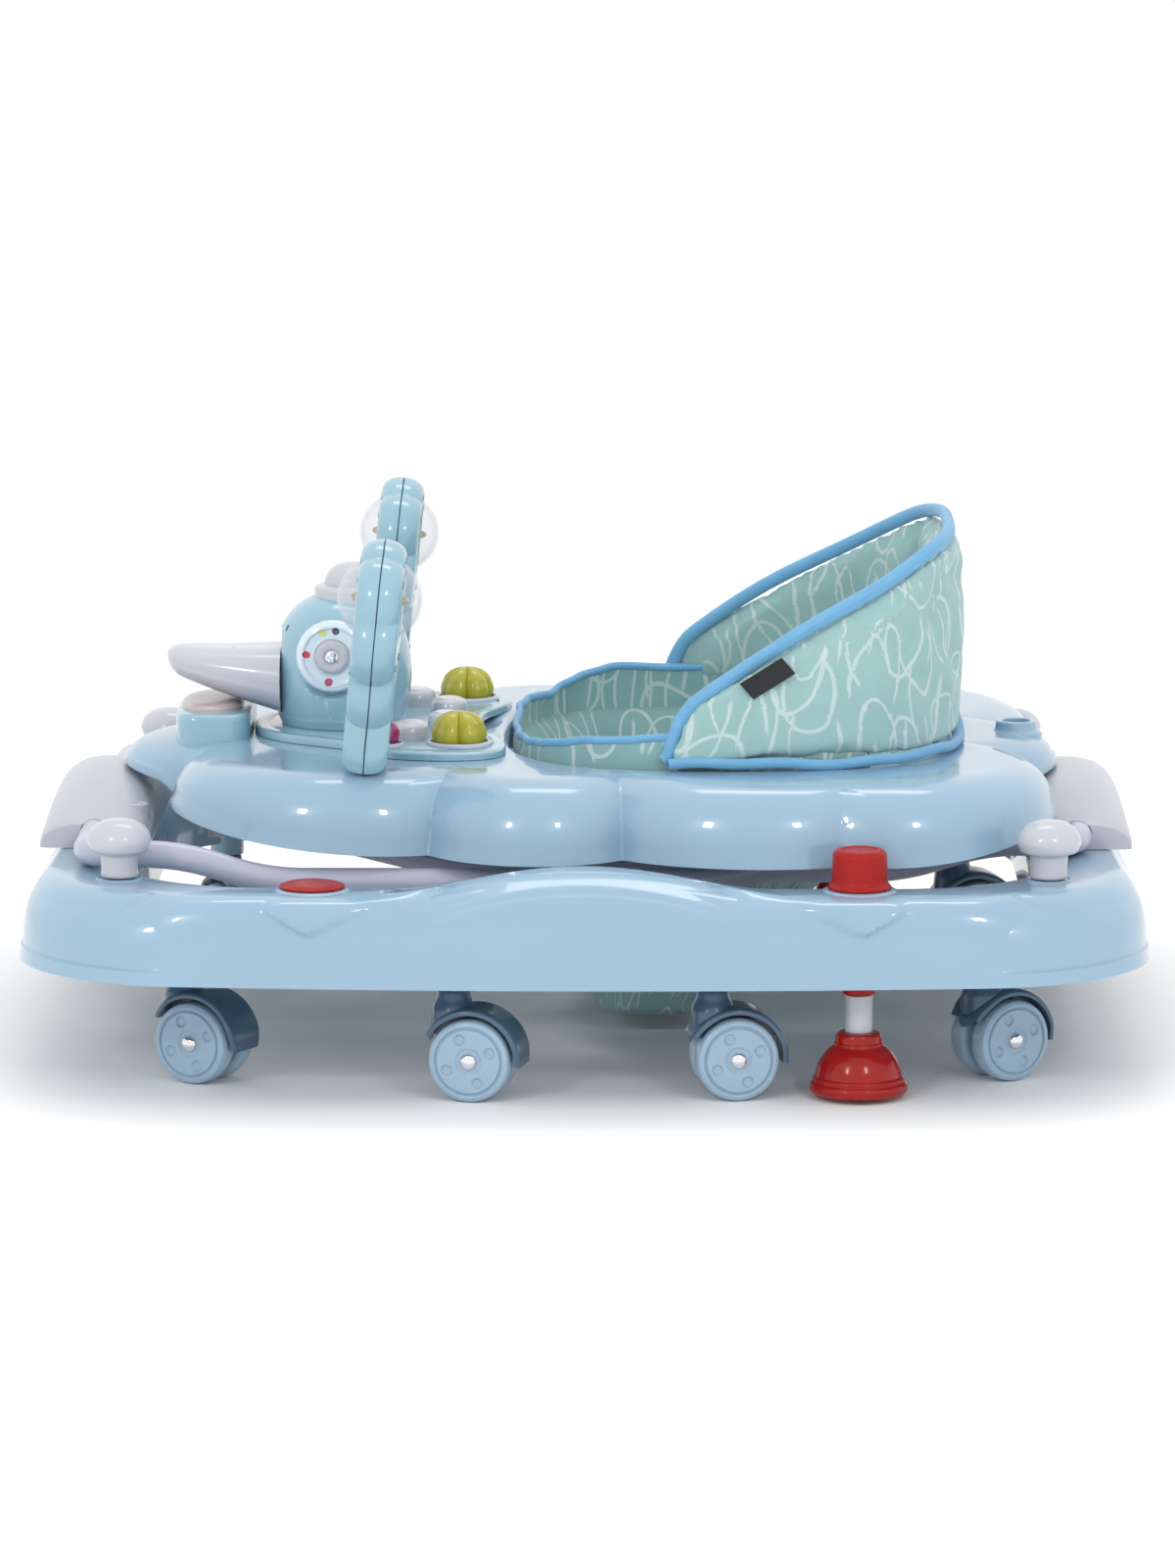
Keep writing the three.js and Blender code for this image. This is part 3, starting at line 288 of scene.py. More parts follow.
def softbox(name, place, aim, width, height, power):
    """A rectangular lamp at a place, turned to face a point."""
    data = bpy.data.lights.new(name, "AREA")
    data.shape, data.size, data.size_y, data.energy = "RECTANGLE", width, height, power
    lamp = bpy.data.objects.new(name, data)
    lamp.location = place
    towards = np.array(aim, float) - np.array(place, float)
    flat = math.hypot(towards[0], towards[1])
    lamp.rotation_euler = (math.atan2(flat, -towards[2]), 0, math.atan2(towards[1], towards[0]) - math.pi / 2)
    bpy.context.collection.objects.link(lamp)


softbox("left_softbox", (-1.5, -2.6, 1.7), (0, 0, 0.15), 0.30, 0.46, 12)
softbox("right_softbox", (1.2, -2.8, 1.8), (0, 0, 0.15), 0.26, 0.42, 10)
softbox("top_softbox", (0.1, 0.9, 2.6), (0, 0, 0.1), 1.3, 0.5, 8)

# ------------------------------------------------------------ base ring
# The rolling base is one blow-moulded ring in glossy pale blue, with an arch in each long rail, a flange round
# the foot of its corners, and shield-shaped swellings where the plugs and stoppers are let in.
BASE_LENGTH, BASE_WIDTH = 698, 610
RAIL_WIDTH = 68
CORNER_R, OPENING_R = 100, 115
RAIL_WALL = 3
RAIL_BOTTOM, RAIL_END_RISE, RAIL_TOP = 72.5, 4.5, 128
ARCH_HEIGHT, ARCH_HALF, DIP_X, CORNER_LINE = 14, 140, 93.5, 286
PLUG_X, STOPPER_X = -165, 168
FITTING_Y = BASE_WIDTH / 2 - 39
FITTING_SEAT = 129
KNOB_X, KNOB_Y = 285, BASE_WIDTH / 2 - 76
BLUE = (0.275, 0.425, 0.555)

blue_plastic = moulded("blue_plastic", BLUE, 0.26, grain=0.6, Coat_Weight=0.7, Coat_Roughness=0.03)


def squared(value, power):
    """A power of a cosine or sine that keeps its sign, which squares off a circle."""
    return np.sign(value) * np.abs(value) ** (2 / power)


def ease(value, start, end):
    """0 before start, 1 after end, and a smooth cubic between them."""
    share = np.clip((value - start) / (end - start), 0, 1)
    return share * share * (3 - 2 * share)


def round_plan(share, half_length, half_width, radius):
    """A rounded rectangle in plan by share of its length round: each side and each corner takes an eighth."""
    eighth = (share * 8) % 8
    quarter = np.floor(eighth / 2)
    along = eighth - 2 * quarter
    sideways = quarter % 2 == 0
    reach = np.where(sideways, half_length, half_width) - radius
    run = np.where(sideways, half_width, half_length) - radius
    bend = np.clip(along - 1, 0, 1) * np.pi / 2
    x = reach + radius * np.cos(bend)
    y = run * np.clip(2 * along - 1, -1, 1) + radius * np.sin(bend)
    turn = quarter * np.pi / 2
    return np.stack([x * np.cos(turn) - y * np.sin(turn), x * np.sin(turn) + y * np.cos(turn)], -1)


def rail_grid():
    """The hollow rail: each station is an outer skin over the top and an inner skin back, of squared half
    circles. The outer wall is set back above the flange, above the crease line, and proud over each
    swelling."""
    share = np.arange(800) / 800
    wall_turn = np.arcsin(np.linspace(0, 0.95, 62) ** 2.5)
    outer_turn = np.concatenate([wall_turn, np.linspace(wall_turn[-1], np.pi, 24)[1:]])
    outer = round_plan(share, BASE_LENGTH / 2, BASE_WIDTH / 2, CORNER_R)[:, None]
    inner = round_plan(share, BASE_LENGTH / 2 - RAIL_WIDTH, BASE_WIDTH / 2 - RAIL_WIDTH, OPENING_R)[:, None]
    width = np.linalg.norm(outer - inner, axis=-1)
    x, y = outer[..., 0], outer[..., 1]
    long_side = ease(np.abs(y), BASE_WIDTH / 2 - 8, BASE_WIDTH / 2 - 1)
    arch = np.where(np.abs(x) < ARCH_HALF, np.abs(np.cos(np.pi * x / (2 * ARCH_HALF))) ** 1.4, 0) * long_side
    top = RAIL_TOP + ARCH_HEIGHT * arch
    bottom = RAIL_BOTTOM + RAIL_END_RISE * (x / (BASE_LENGTH / 2)) ** 2
    skins = []
    for inset, turn in ((0, outer_turn[None]), (RAIL_WALL, np.linspace(np.pi, 0, 14)[None])):
        power = np.where((turn < np.pi / 2) & (inset == 0), 5.0, 3.4)
        across = 0.5 - (0.5 - inset / width) * squared(np.cos(turn), power)
        up = np.maximum((top - inset - bottom) * squared(np.sin(turn), power), 0)
        height = bottom + up
        if not inset:
            outside = ease(0.5 - across, 0.1, 0.45)
            at_corner = ease(np.abs(x), 225, 285)
            flange = ease(height - bottom, 8.0, 9.6) * (0.5 + 2.6 * at_corner)
            flange = flange + 9 * at_corner * np.clip((height - bottom) / 55, 0, 1)
            bow = np.cos(np.pi / 2 * np.clip(np.abs(x) / DIP_X, 0, 1))
            crease = 114.5 + 15.5 * np.maximum(bow, 0) ** 0.8 + 0.36 * np.maximum(np.abs(x) - DIP_X, 0)
            valley = 2.2 * np.exp(-((height - crease - 1) / 1.8) ** 2) * ease(top - crease, 1, 5)
            corner_line = 3.2 * np.exp(-((np.abs(x) - CORNER_LINE) / 3.6) ** 2) * ease(height - bottom, 8, 14)
            corner_line = corner_line * ease(np.abs(y), BASE_WIDTH / 2 - 30, BASE_WIDTH / 2 - 18)
            setback = corner_line + (valley + 1.25 * np.maximum(height - crease, 0)) * long_side
            beside = np.minimum(np.abs(x - PLUG_X), np.abs(x - STOPPER_X))
            shield = ease(height - 105 - 0.52 * beside, -2.2, 3.6) * ease(-beside, -36, -24) * long_side
            across = across + outside * (flange + setback - 5.5 * shield) / width
        spot = outer * (1 - across[..., None]) + inner * across[..., None]
        skins.append(np.concatenate([spot, height[..., None]], -1))
    return np.concatenate(skins, 1)


caster_spots = []
for side, where in ((-1, "near"), (1, "far")):
    yaws = (29, 12, -10, -33) if side < 0 else (55, 20, -18, -12)
    outer_y, inner_y = side * (BASE_WIDTH / 2 - 93), side * (BASE_WIDTH / 2 - 37)
    caster_spots += [
        (f"{where}_front_outer", -246, outer_y, yaws[0]), (f"{where}_front_inner", -79, inner_y, yaws[1]),
        (f"{where}_rear_inner", 79, inner_y, yaws[2]), (f"{where}_rear_outer", 246, outer_y, yaws[3]),
    ]

base_shells = [shell(rail_grid(), loop_rows=True, loop_columns=True)]
socket = rounded([(6.1, 118), (6.1, 68), (11.5, 68), (11.5, 118), (6.1, 118)], 1.2)
for name, x, y, yaw in caster_spots:
    base_shells.append(spun(socket, (x, y, 0), 40))
for side in (-1, 1):
    for end in (-1, 1):
        pad = rounded([(0, 112), (14.6, 112), (14.6, 129), (13, 129.0), (12.4, 128.4), (0, 128.4)], 1.0)
        base_shells.append(spun(pad, (end * KNOB_X, side * KNOB_Y, 0)))
    for x in (PLUG_X, STOPPER_X):
        bore = 10.6 if x > 0 else 0.0
        boss = rounded([(bore, 108), (15, 107), (24.5, 122), (24, 127.2), (21.4, FITTING_SEAT),
                        (bore, FITTING_SEAT)], 3)
        boss = np.vstack([boss, boss[:1]]) if bore else boss
        base_shells.append(spun(boss, (x, side * FITTING_Y, 0), 96))
base = build("base_ring", base_shells, [blue_plastic])
fit(base, "base", "blue_plastic", "base_frame")

# ------------------------------------------------------------ clamp covers
# A pale saddle cover is screwed down on the middle of each short rail and clamps the tube in its bore.
PIVOT_X, PIVOT_Z = 309, 138
TUBE_R = 8.5
COVER_HALF, COVER_WIDE, COVER_TOP = 120, 35, 164
LILAC_WHITE = (0.46, 0.48, 0.535)
cover_plastic = moulded("cover_plastic", LILAC_WHITE, 0.26)
steel = moulded("screw_steel", (0.62, 0.63, 0.66), 0.28, grain=0.4, Metallic=1.0)


def cover_grid(direction):
    """The cover round its bore: rays from the bore's centre reach a squared arch that droops towards both ends,
    swells a little at each third, and turns in over a rounded edge before the bore comes back through it."""
    sides = 160
    turn = full_turn(sides)
    ends = np.array([0.94, 0.985, 1.0, 1.0])
    turned_in = np.array([0.0, 0.5, 1.4, 3.2])
    share = np.concatenate([-ends[::-1], np.linspace(-0.9, 0.9, 41), ends])[None]
    shrink = np.concatenate([turned_in[::-1], np.zeros(41), turned_in])[None]
    y = share * COVER_HALF
    bottom = RAIL_TOP + 0.3
    top = COVER_TOP - 19 * share ** 2 - shrink
    half = COVER_WIDE - shrink
    low, high = np.zeros_like(turn + y), np.full_like(turn + y, 60.0)
    for _ in range(34):
        reach = (low + high) / 2
        x, z = reach * np.cos(turn), PIVOT_Z + reach * np.sin(turn)
        inside = np.abs(x / half) ** 2.6 + np.abs(np.maximum(z - bottom, 0) / (top - bottom)) ** 2.6 < 1
        inside &= z > bottom
        low, high = np.where(inside, reach, low), np.where(inside, high, reach)
    outer = np.stack([low * np.cos(turn), y + 0 * turn, PIVOT_Z + low * np.sin(turn)], -1)
    bore = np.linspace(1, -1, 12)[None] * COVER_HALF
    hole = TUBE_R + 0.45
    inner = np.stack([hole * np.cos(turn) + 0 * bore, bore + 0 * turn,
                      PIVOT_Z + hole * np.sin(turn) + 0 * bore], -1)
    grid = np.concatenate([outer, inner], 1)
    grid[..., 0] += direction * PIVOT_X
    return grid


def screw(x, y, z, radius=4.2, finish=1):
    """A domed screw head with a cross recess, whose floor is a sunk plus shape in a polar grid."""
    turn = full_turn(96)
    ring = np.linspace(0, 1, 15)[None]
    px, py = radius * ring * np.cos(turn), radius * ring * np.sin(turn)
    cross = np.minimum(np.abs(px), np.abs(py)) / radius
    sunk = ease(-cross, -0.17, -0.09) * ease(-ring, -0.62, -0.5)
    height = 1.3 * np.sqrt(np.maximum(1 - ring ** 2, 0)) - 0.9 * sunk
    grid = np.stack([px + x, py + y, height + z + 0 * turn], -1)
    skirt = grid[:, -1:] - np.array([0, 0, 1.0])
    return shell(np.concatenate([grid, skirt], 1), loop_rows=True, finish=finish)


for direction, where in ((-1, "front"), (1, "rear")):
    shells = [shell(cover_grid(direction), loop_rows=True, loop_columns=True)]
    for side in (-1, 1):
        x, y = direction * (PIVOT_X - 24), side * 84
        level = 149.0
        shells.append(spun(rounded([(4.6, level - 14), (9.5, level - 14), (7.6, level + 1.6),
                                    (6.9, level + 2.2),
                                    (4.9, level + 2.2), (4.6, level - 14)], 0.8), (x, y, 0), 48))
        shells.append(screw(x, y, level + 0.3))
    cover = build(f"{where}_saddle_cover", shells, [cover_plastic, steel])
    fit(cover, "base", "white_plastic", f"{where}_clamp_cover")

# ------------------------------------------------------------ corner knobs and rail plugs
# White mushroom knobs stand on pads at the four corners; a domed red plug closes each front rail boss.
white_plastic = moulded("white_plastic", (0.51, 0.52, 0.575), 0.24, grain=0.6, Coat_Weight=0.4,
                        Coat_Roughness=0.05)
red_plastic = moulded("red_plastic", (0.36, 0.009, 0.007), 0.38, grain=0.6, mottle=0.08,
                      Specular_IOR_Level=0.22, Coat_Weight=0.05, Coat_Roughness=0.1)


def round_cap(start_radius, bottom, height, steps=14):
    """The quarter oval from a rim up to the top of a dome."""
    turn = np.linspace(0, np.pi / 2, steps)
    return np.stack([start_radius * np.cos(turn) ** 0.8, bottom + height * np.sin(turn)], -1)


for side, where in ((-1, "near"), (1, "far")):
    for end, which in ((-1, "front"), (1, "rear")):
        low = RAIL_TOP + 1.3
        stem = rounded([(0, low), (11.7, low), (11.2, low + 5), (11.7, low + 15), (17.5, low + 16.2),
                        (19.8, low + 22)], 2)
        dome = round_cap(19.8, low + 22, 14)[1:]
        dome[-1, 0] = 0
        knob = build(f"{where}_{which}_mushroom_knob",
                     [spun(np.vstack([stem, dome]), (end * KNOB_X, side * KNOB_Y, 0))],
                     [white_plastic])
        fit(knob, "base", "white_plastic", f"{where}_{which}_corner_knob")
    low = FITTING_SEAT + 0.3
    disc = np.vstack([[(0, low)], rounded([(0, low), (20, low), (20, low + 1.3), (17.5, low + 2.1)], 0.6)[1:],
                      round_cap(17.5, low + 2.1, 1.3)[1:]])
    disc[-1, 0] = 0
    plug = build(f"{where}_red_plug", [spun(disc, (PLUG_X, side * FITTING_Y, 0), 96)], [red_plastic])
    fit(plug, "base", "red_plastic", f"{where}_rail_plug")

# ------------------------------------------------------------ brake stoppers
# Each red cap is pressed down by hand; its sleeve runs through the rail to a ribbed rubber bell that grips
# the floor. The bell's white stem plugs into the sleeve.
CAP_R, SLEEVE_R, STEM_R = 17, 10, 8.5
rubber = moulded("red_rubber", (0.33, 0.009, 0.007), 0.2, grain=0.8, mottle=0.1, Specular_IOR_Level=0.25,
                 Coat_Weight=0.2, Coat_Roughness=0.04)
cap_low = FITTING_SEAT + 0.3
for side, where in ((-1, "near"), (1, "far")):
    centre = (STOPPER_X, side * FITTING_Y, 0)
    cap = rounded([
        (6.3, 64), (10.0, 64), (10.0, 70), (SLEEVE_R, 72), (SLEEVE_R, cap_low), (19.4, cap_low),
        (19.2, cap_low + 1.6),
        (17.6, cap_low + 3.4), (CAP_R, cap_low + 5), (CAP_R - 0.5, cap_low + 21.5), (CAP_R - 2.6, cap_low + 24),
        (CAP_R - 5.2, cap_low + 24), (CAP_R - 6.0, cap_low + 23.2), (0, cap_low + 23.4), (0, 88), (6.3, 88),
        (6.3, 64),
    ], 1.4)
    fit(build(f"{where}_brake_button", [spun(cap, centre, 96)], [red_plastic], sharp=50),
        f"{where}_stopper", "red_plastic", f"{where}_stopper_cap")
    ribs = [(30, 3.5), (30, 8.6), (28.6, 10.2), (28.0, 10.4), (28.2, 12.6), (27.2, 13.6), (26.6, 13.8),
            (25.6, 18.6),
            (23.0, 24.6), (19.6, 29.0), (16.4, 31.4), (15.2, 32.4), (14.9, 34.2), (14.4, 34.6), (13.9, 38.6),
            (12.8, 40.5)]
    bell = rounded([(0, 5.0), (24, 5.0), (26, 3.5)] + ribs + [(STEM_R, 40.5), (0, 40.5)], 2.0, 4)
    stem = rounded([(0, 40.5), (STEM_R, 40.5), (STEM_R, 63.7), (6, 63.7), (6, 85.7), (0, 85.7)], 0.7)
    foot = build(f"{where}_brake_bell", [spun(bell, centre, 112), spun(stem, centre, 64, finish=1)],
                 [rubber, white_plastic])
    fit(foot, f"{where}_stopper", "red_plastic", f"{where}_stopper_foot")

# ------------------------------------------------------------ casters
# Eight twin-wheel casters: a slate hood on a web between two grey-blue wheels, and a stem that turns in the
# base. Each wheel has a tread, a ring groove and four dimples, and a chrome cap on its axle.
WHEEL_R, TRAIL = 25.5, 13
slate_plastic = moulded("slate_plastic", (0.055, 0.11, 0.175), 0.28, mottle=0.1, Coat_Weight=0.3,
                        Coat_Roughness=0.08)
wheel_plastic = moulded("wheel_plastic", (0.31, 0.44, 0.56), 0.3, mottle=0.06, Coat_Weight=0.25,
                        Coat_Roughness=0.08)
chrome = moulded("axle_chrome", (0.80, 0.81, 0.83), 0.12, grain=0.3, Metallic=1.0)


def set_caster(grid, x, y, yaw):
    """Turns a shape drawn about the axle by the caster's own angle and carries it to its stem."""
    turn = math.radians(-yaw)
    cos, sin = math.cos(turn), math.sin(turn)
    px, py, pz = grid[..., 0] + TRAIL, grid[..., 1], grid[..., 2] + WHEEL_R
    return np.stack([x + px * cos - py * sin, y + px * sin + py * cos, pz], -1)


def hood_grid():
    """The fender: a rounded channel section, deeper at its edges, swept round the axle from the front to
    behind."""
    around = np.radians(np.linspace(-6, 152, 56))[:, None]
    outline = rounded([(-16.5, 28.2), (-16.5, 31), (-13, 32), (0, 32.0), (13, 32), (16.5, 31), (16.5, 28.2),
                       (0, 28.2), (-16.5, 28.2)], 1.6, 3)[:-1]
    wide, radius = outline[:, 0][None], outline[:, 1][None]
    taper = 1 - 0.16 * ease(np.abs(around - math.radians(73)), 0.9, 1.45)
    return np.stack([radius * np.cos(around), wide * taper, radius * np.sin(around)], -1)


def web_grid():
    """The web: a flat plate between the hub and the fender, with rounded edges."""
    around = np.radians(np.linspace(28, 150, 40))[:, None]
    outline = np.array([(-3.7, 11.5), (-3.7, 29.5), (3.7, 29.5), (3.7, 11.5)])
    wide, radius = outline[:, 0][None], outline[:, 1][None]
    return np.stack([radius * np.cos(around), wide + 0 * around, radius * np.sin(around)], -1)


def tower_grid():
    """The stem tower: a cone that flares onto the fender, pushed up wherever it would reach the wheels."""
    turn = full_turn(48)
    profile = rounded([(0, 8), (15, 8), (13.4, 29), (10.6, 36), (9.5, 42.2), (5.5, 42.2), (5.5, 86),
                       (4.6, 86.5), (0, 86.5)], 2)
    radius, height = profile[:, 0][None], profile[:, 1][None]
    x = radius * np.cos(turn) - TRAIL
    z = np.maximum(height + 0 * turn, np.sqrt(np.maximum(29 ** 2 - x ** 2, 0)))
    return np.stack([x, radius * np.sin(turn), z], -1)


def wheel_grid(side):
    """One wheel: a profile from the bore out over the tread to the face, spun about the axle, with four round
    dimples pressed into the face."""
    turn = full_turn(144)
    inner, outer = 4.2, 18.2
    profile = rounded([(3.0, inner), (22, inner), (25.0, inner + 1.2), (25.5, inner + 4), (25.5, outer - 4.4),
                       (24.6, outer - 1.2), (22.4, outer - 0.1), (21.4, outer - 0.3), (20.9, outer - 1.7),
                       (20.1, outer - 1.7), (19.6, outer - 0.2), (15.0, outer), (11.0, outer - 0.2),
                       (8.2, outer - 0.7), (7.6, outer - 1.5), (3.0, outer - 1.5)], 0.6, 3)
    face = np.linspace(19.4, 8.6, 26)
    face = np.stack([face, outer - 0.2 - 0.5 * ((19.4 - face) / 10.8) ** 2], -1)
    keep = (profile[:, 0] > 19.5) | (profile[:, 0] < 8.5) | (profile[:, 1] < outer - 4)
    first = int(np.argmax((profile[:, 1] > outer - 1.6) & (profile[:, 0] < 19.6)))
    profile = np.vstack([profile[:first][keep[:first]], face, profile[first:][keep[first:]]])
    radius, depth = profile[:, 0][None], profile[:, 1][None]
    for start in np.arange(4) * np.pi / 2 + 0.4:
        gap = np.hypot(radius * np.cos(turn) - 14.4 * np.cos(start),
                       radius * np.sin(turn) - 14.4 * np.sin(start))
        depth = depth - 1.5 * ease(-gap, -3.6, -2.7) * (depth > outer - 3)
    return np.stack([radius * np.cos(turn), side * depth + 0 * turn, radius * np.sin(turn)], -1)


def axle_grid():
    """The axle with a dome at each end."""
    turn = full_turn(48)
    dome = np.array([(0, 20.5), (2.4, 20.1), (4.2, 19.2), (5.0, 18.2), (5.2, 16.7), (3.0, 16.7)])
    profile = np.vstack([dome, dome[::-1] * np.array([1, -1])])
    radius, depth = profile[:, 0][None], profile[:, 1][None]
    return np.stack([radius * np.cos(turn), depth + 0 * turn, radius * np.sin(turn)], -1)


for name, x, y, yaw in caster_spots:
    hood = shell(set_caster(hood_grid(), x, y, yaw), loop_columns=True, ends=True)
    web = shell(set_caster(web_grid(), x, y, yaw), loop_columns=True, ends=True)
    tower = shell(set_caster(tower_grid(), x, y, yaw), loop_rows=True)
    fork = build(f"{name}_hooded_fork", [hood, web, tower], [slate_plastic])
    fit(fork, f"{name}_fork", "slate_plastic", f"{name}_caster_fork")
    discs = [shell(set_caster(wheel_grid(side), x, y, yaw), loop_rows=True, loop_columns=True)
             for side in (-1, 1)]
    axle = shell(set_caster(axle_grid(), x, y, yaw), loop_rows=True, finish=1)
    pair = build(f"{name}_wheel_pair", discs + [axle], [wheel_plastic, chrome])
    fit(pair, f"{name}_wheels", "wheel_plastic", f"{name}_caster_wheels")

# ------------------------------------------------------------ crossed tubes
# Two painted steel tubes, each bent into a U: its crossbar turns in a clamp cover and its two legs lie folded
# under the tray, with a pin at each end.
FRONT_TUBE_Y, REAR_TUBE_Y = 199, 150
TUBE_REACH, TRAY_PIN_Z = 540, 150
TUBE_LOW = 121
tube_paint = moulded("tube_paint", (0.46, 0.47, 0.58), 0.3, mottle=0.04, Coat_Weight=0.3, Coat_Roughness=0.1)


def swept(path, section, closed=False):
    """A section carried along a path of points, its frame turned only as far as the path turns."""
    path = np.array(path, float)
    ahead = np.gradient(path, axis=0) if not closed else np.roll(path, -1, 0) - np.roll(path, 1, 0)
    ahead /= np.linalg.norm(ahead, axis=1, keepdims=True)
    up = np.zeros_like(path)
    seed = np.array([0, 0, 1.0]) if abs(ahead[0, 2]) < 0.9 else np.array([1.0, 0, 0])
    for i, direction in enumerate(ahead):
        seed = seed - direction * seed.dot(direction)
        seed /= np.linalg.norm(seed)
        up[i] = seed
    sideways = np.cross(ahead, up)
    section = np.array(section, float)
    return path[:, None] + sideways[:, None] * section[None, :, :1] + up[:, None] * section[None, :, 1:2]


def run_along(path):
    """The length from the start of a path to each of its points."""
    return np.concatenate([[0], np.cumsum(np.linalg.norm(np.diff(path, axis=0), axis=1))])


def evenly(path, count, endpoint=True):
    """A path again, by points at even lengths along it."""
    run = run_along(path)
    even = np.linspace(0, run[-1], count, endpoint=endpoint)
    return np.stack([np.interp(even, run, path[:, axis]) for axis in range(path.shape[1])], -1)


def circle(radius, sides=32):
    """A circle's points, for the section of a swept cord or tube."""
    turn = full_turn(sides)[:, 0]
    return np.stack([radius * np.cos(turn), radius * np.sin(turn)], -1)


def tube_route(leg_y, direction):
    """The tube's centre line: up one leg, across the base and back, with its corners bent round."""
    leg = [(TUBE_REACH, TRAY_PIN_Z), (TUBE_REACH - 36, TRAY_PIN_Z), (386, TUBE_LOW), (112, TUBE_LOW),
           (60, PIVOT_Z), (0, PIVOT_Z)]
    one = [(-direction * PIVOT_X + direction * reach, -leg_y, z) for reach, z in leg]
    other = [(x, leg_y, z) for x, _, z in one[::-1]]
    return evenly(rounded(one + other, 24, 10), 420)


for where, leg_y, direction in (("front", FRONT_TUBE_Y, 1), ("rear", REAR_TUBE_Y, -1)):
    route = tube_route(leg_y, direction)
    shells = [shell(swept(route, circle(TUBE_R)), loop_columns=True, ends=True)]
    pin_x = -direction * PIVOT_X + direction * (TUBE_REACH - 6)
    for side in (-1, 1):
        pin = [(pin_x, side * leg_y, TRAY_PIN_Z), (pin_x, side * (leg_y - 15.5), TRAY_PIN_Z)]
        shells.append(shell(swept(pin, circle(5, 24)), loop_columns=True, ends=True, finish=1))
    tube = build(f"{where}_bent_tube", shells, [tube_paint, chrome])
    fit(tube, f"{where}_tube", "tube_paint", f"{where}_tube")

# ------------------------------------------------------------ tray
# The tray is one glossy moulded shell shaped like a cloud: each lobe is a puff, and creases run up between
# them. A lip runs round its rim, the seat hole is turned down inside, and a short socket stands at the back.
TRAY_TOP, TRAY_RIM, TRAY_WALL, SHOULDER = 186, 137, 3, 38
TRAY_MIDDLE = 10
LOBES = [(-172, 0, 126, 95), (-150, 100, 112, 110), (-30, 130, 85, 107), (110, 100, 135, 147),
         (190, 120, 105, 122), (210, 0, 92, 92)]
LOBES += [(x, -y, a, b) for x, y, a, b in LOBES if y]
HOLE_X, HOLE_LONG, HOLE_WIDE = 88, 138, 166
SOCKET_X = 276


def lobe_reach(turn):
    """The farthest crossing of a ray from the tray's middle with any of the lobes' ellipses."""
    across, up = np.cos(turn), np.sin(turn)
    reach = np.zeros_like(turn)
    for x, y, half_length, half_width in LOBES:
        px, py, ux, uy = (TRAY_MIDDLE - x) / half_length, -y / half_width, across / half_length, up / half_width
        a, b, c = ux * ux + uy * uy, px * ux + py * uy, px * px + py * py - 1
        root = b * b - a * c
        reach = np.where(root > 0, np.maximum(reach, (-b + np.sqrt(np.maximum(root, 0))) / a), reach)
    return reach


def hole_reach(turn):
    """The seat hole on the same ray, closing in on its squared oval."""
    reach = np.full_like(turn, 216.0)
    for _ in range(60):
        x = (TRAY_MIDDLE + reach * np.cos(turn) - HOLE_X) / HOLE_LONG
        y = reach * np.sin(turn) / HOLE_WIDE
        reach = reach / (np.abs(x) ** 3 + np.abs(y) ** 3) ** (1 / 6)
    return reach


def rim_height(x, y):
    """The rim climbs towards both ends, and clears the clamp covers where it passes over them."""
    rim = TRAY_RIM + 16 * (np.maximum(-x - 80, 0) / 175) ** 2 + 13 * (np.maximum(x - 180, 0) / 105) ** 2
    over = np.clip((np.abs(x) - (PIVOT_X - COVER_WIDE - 12)) / 10, 0, 1)
    over = over * ease(-np.abs(y), -COVER_HALF - 10, -COVER_HALF - 4)
    clear = COVER_TOP - 19 * (y / COVER_HALF) ** 2 + 2
    return rim + (np.maximum(rim, clear) - rim) * over


def puff_height(x, y, shoulder=SHOULDER):
    """How far up its shoulder each point lies, from 0 at the outline to 1 on top: the highest of all lobes."""
    best = np.zeros_like(x)
    for lobe_x, lobe_y, half_length, half_width in LOBES:
        ring = np.hypot((x - lobe_x) / half_length, (y - lobe_y) / half_width)
        inward = (1 - ring) * min(half_length, half_width)
        share = np.clip(inward / shoulder, 0, 1)
        best = np.maximum(best, (1 - (1 - share) ** 2.6) ** (1 / 2.6))
    return best


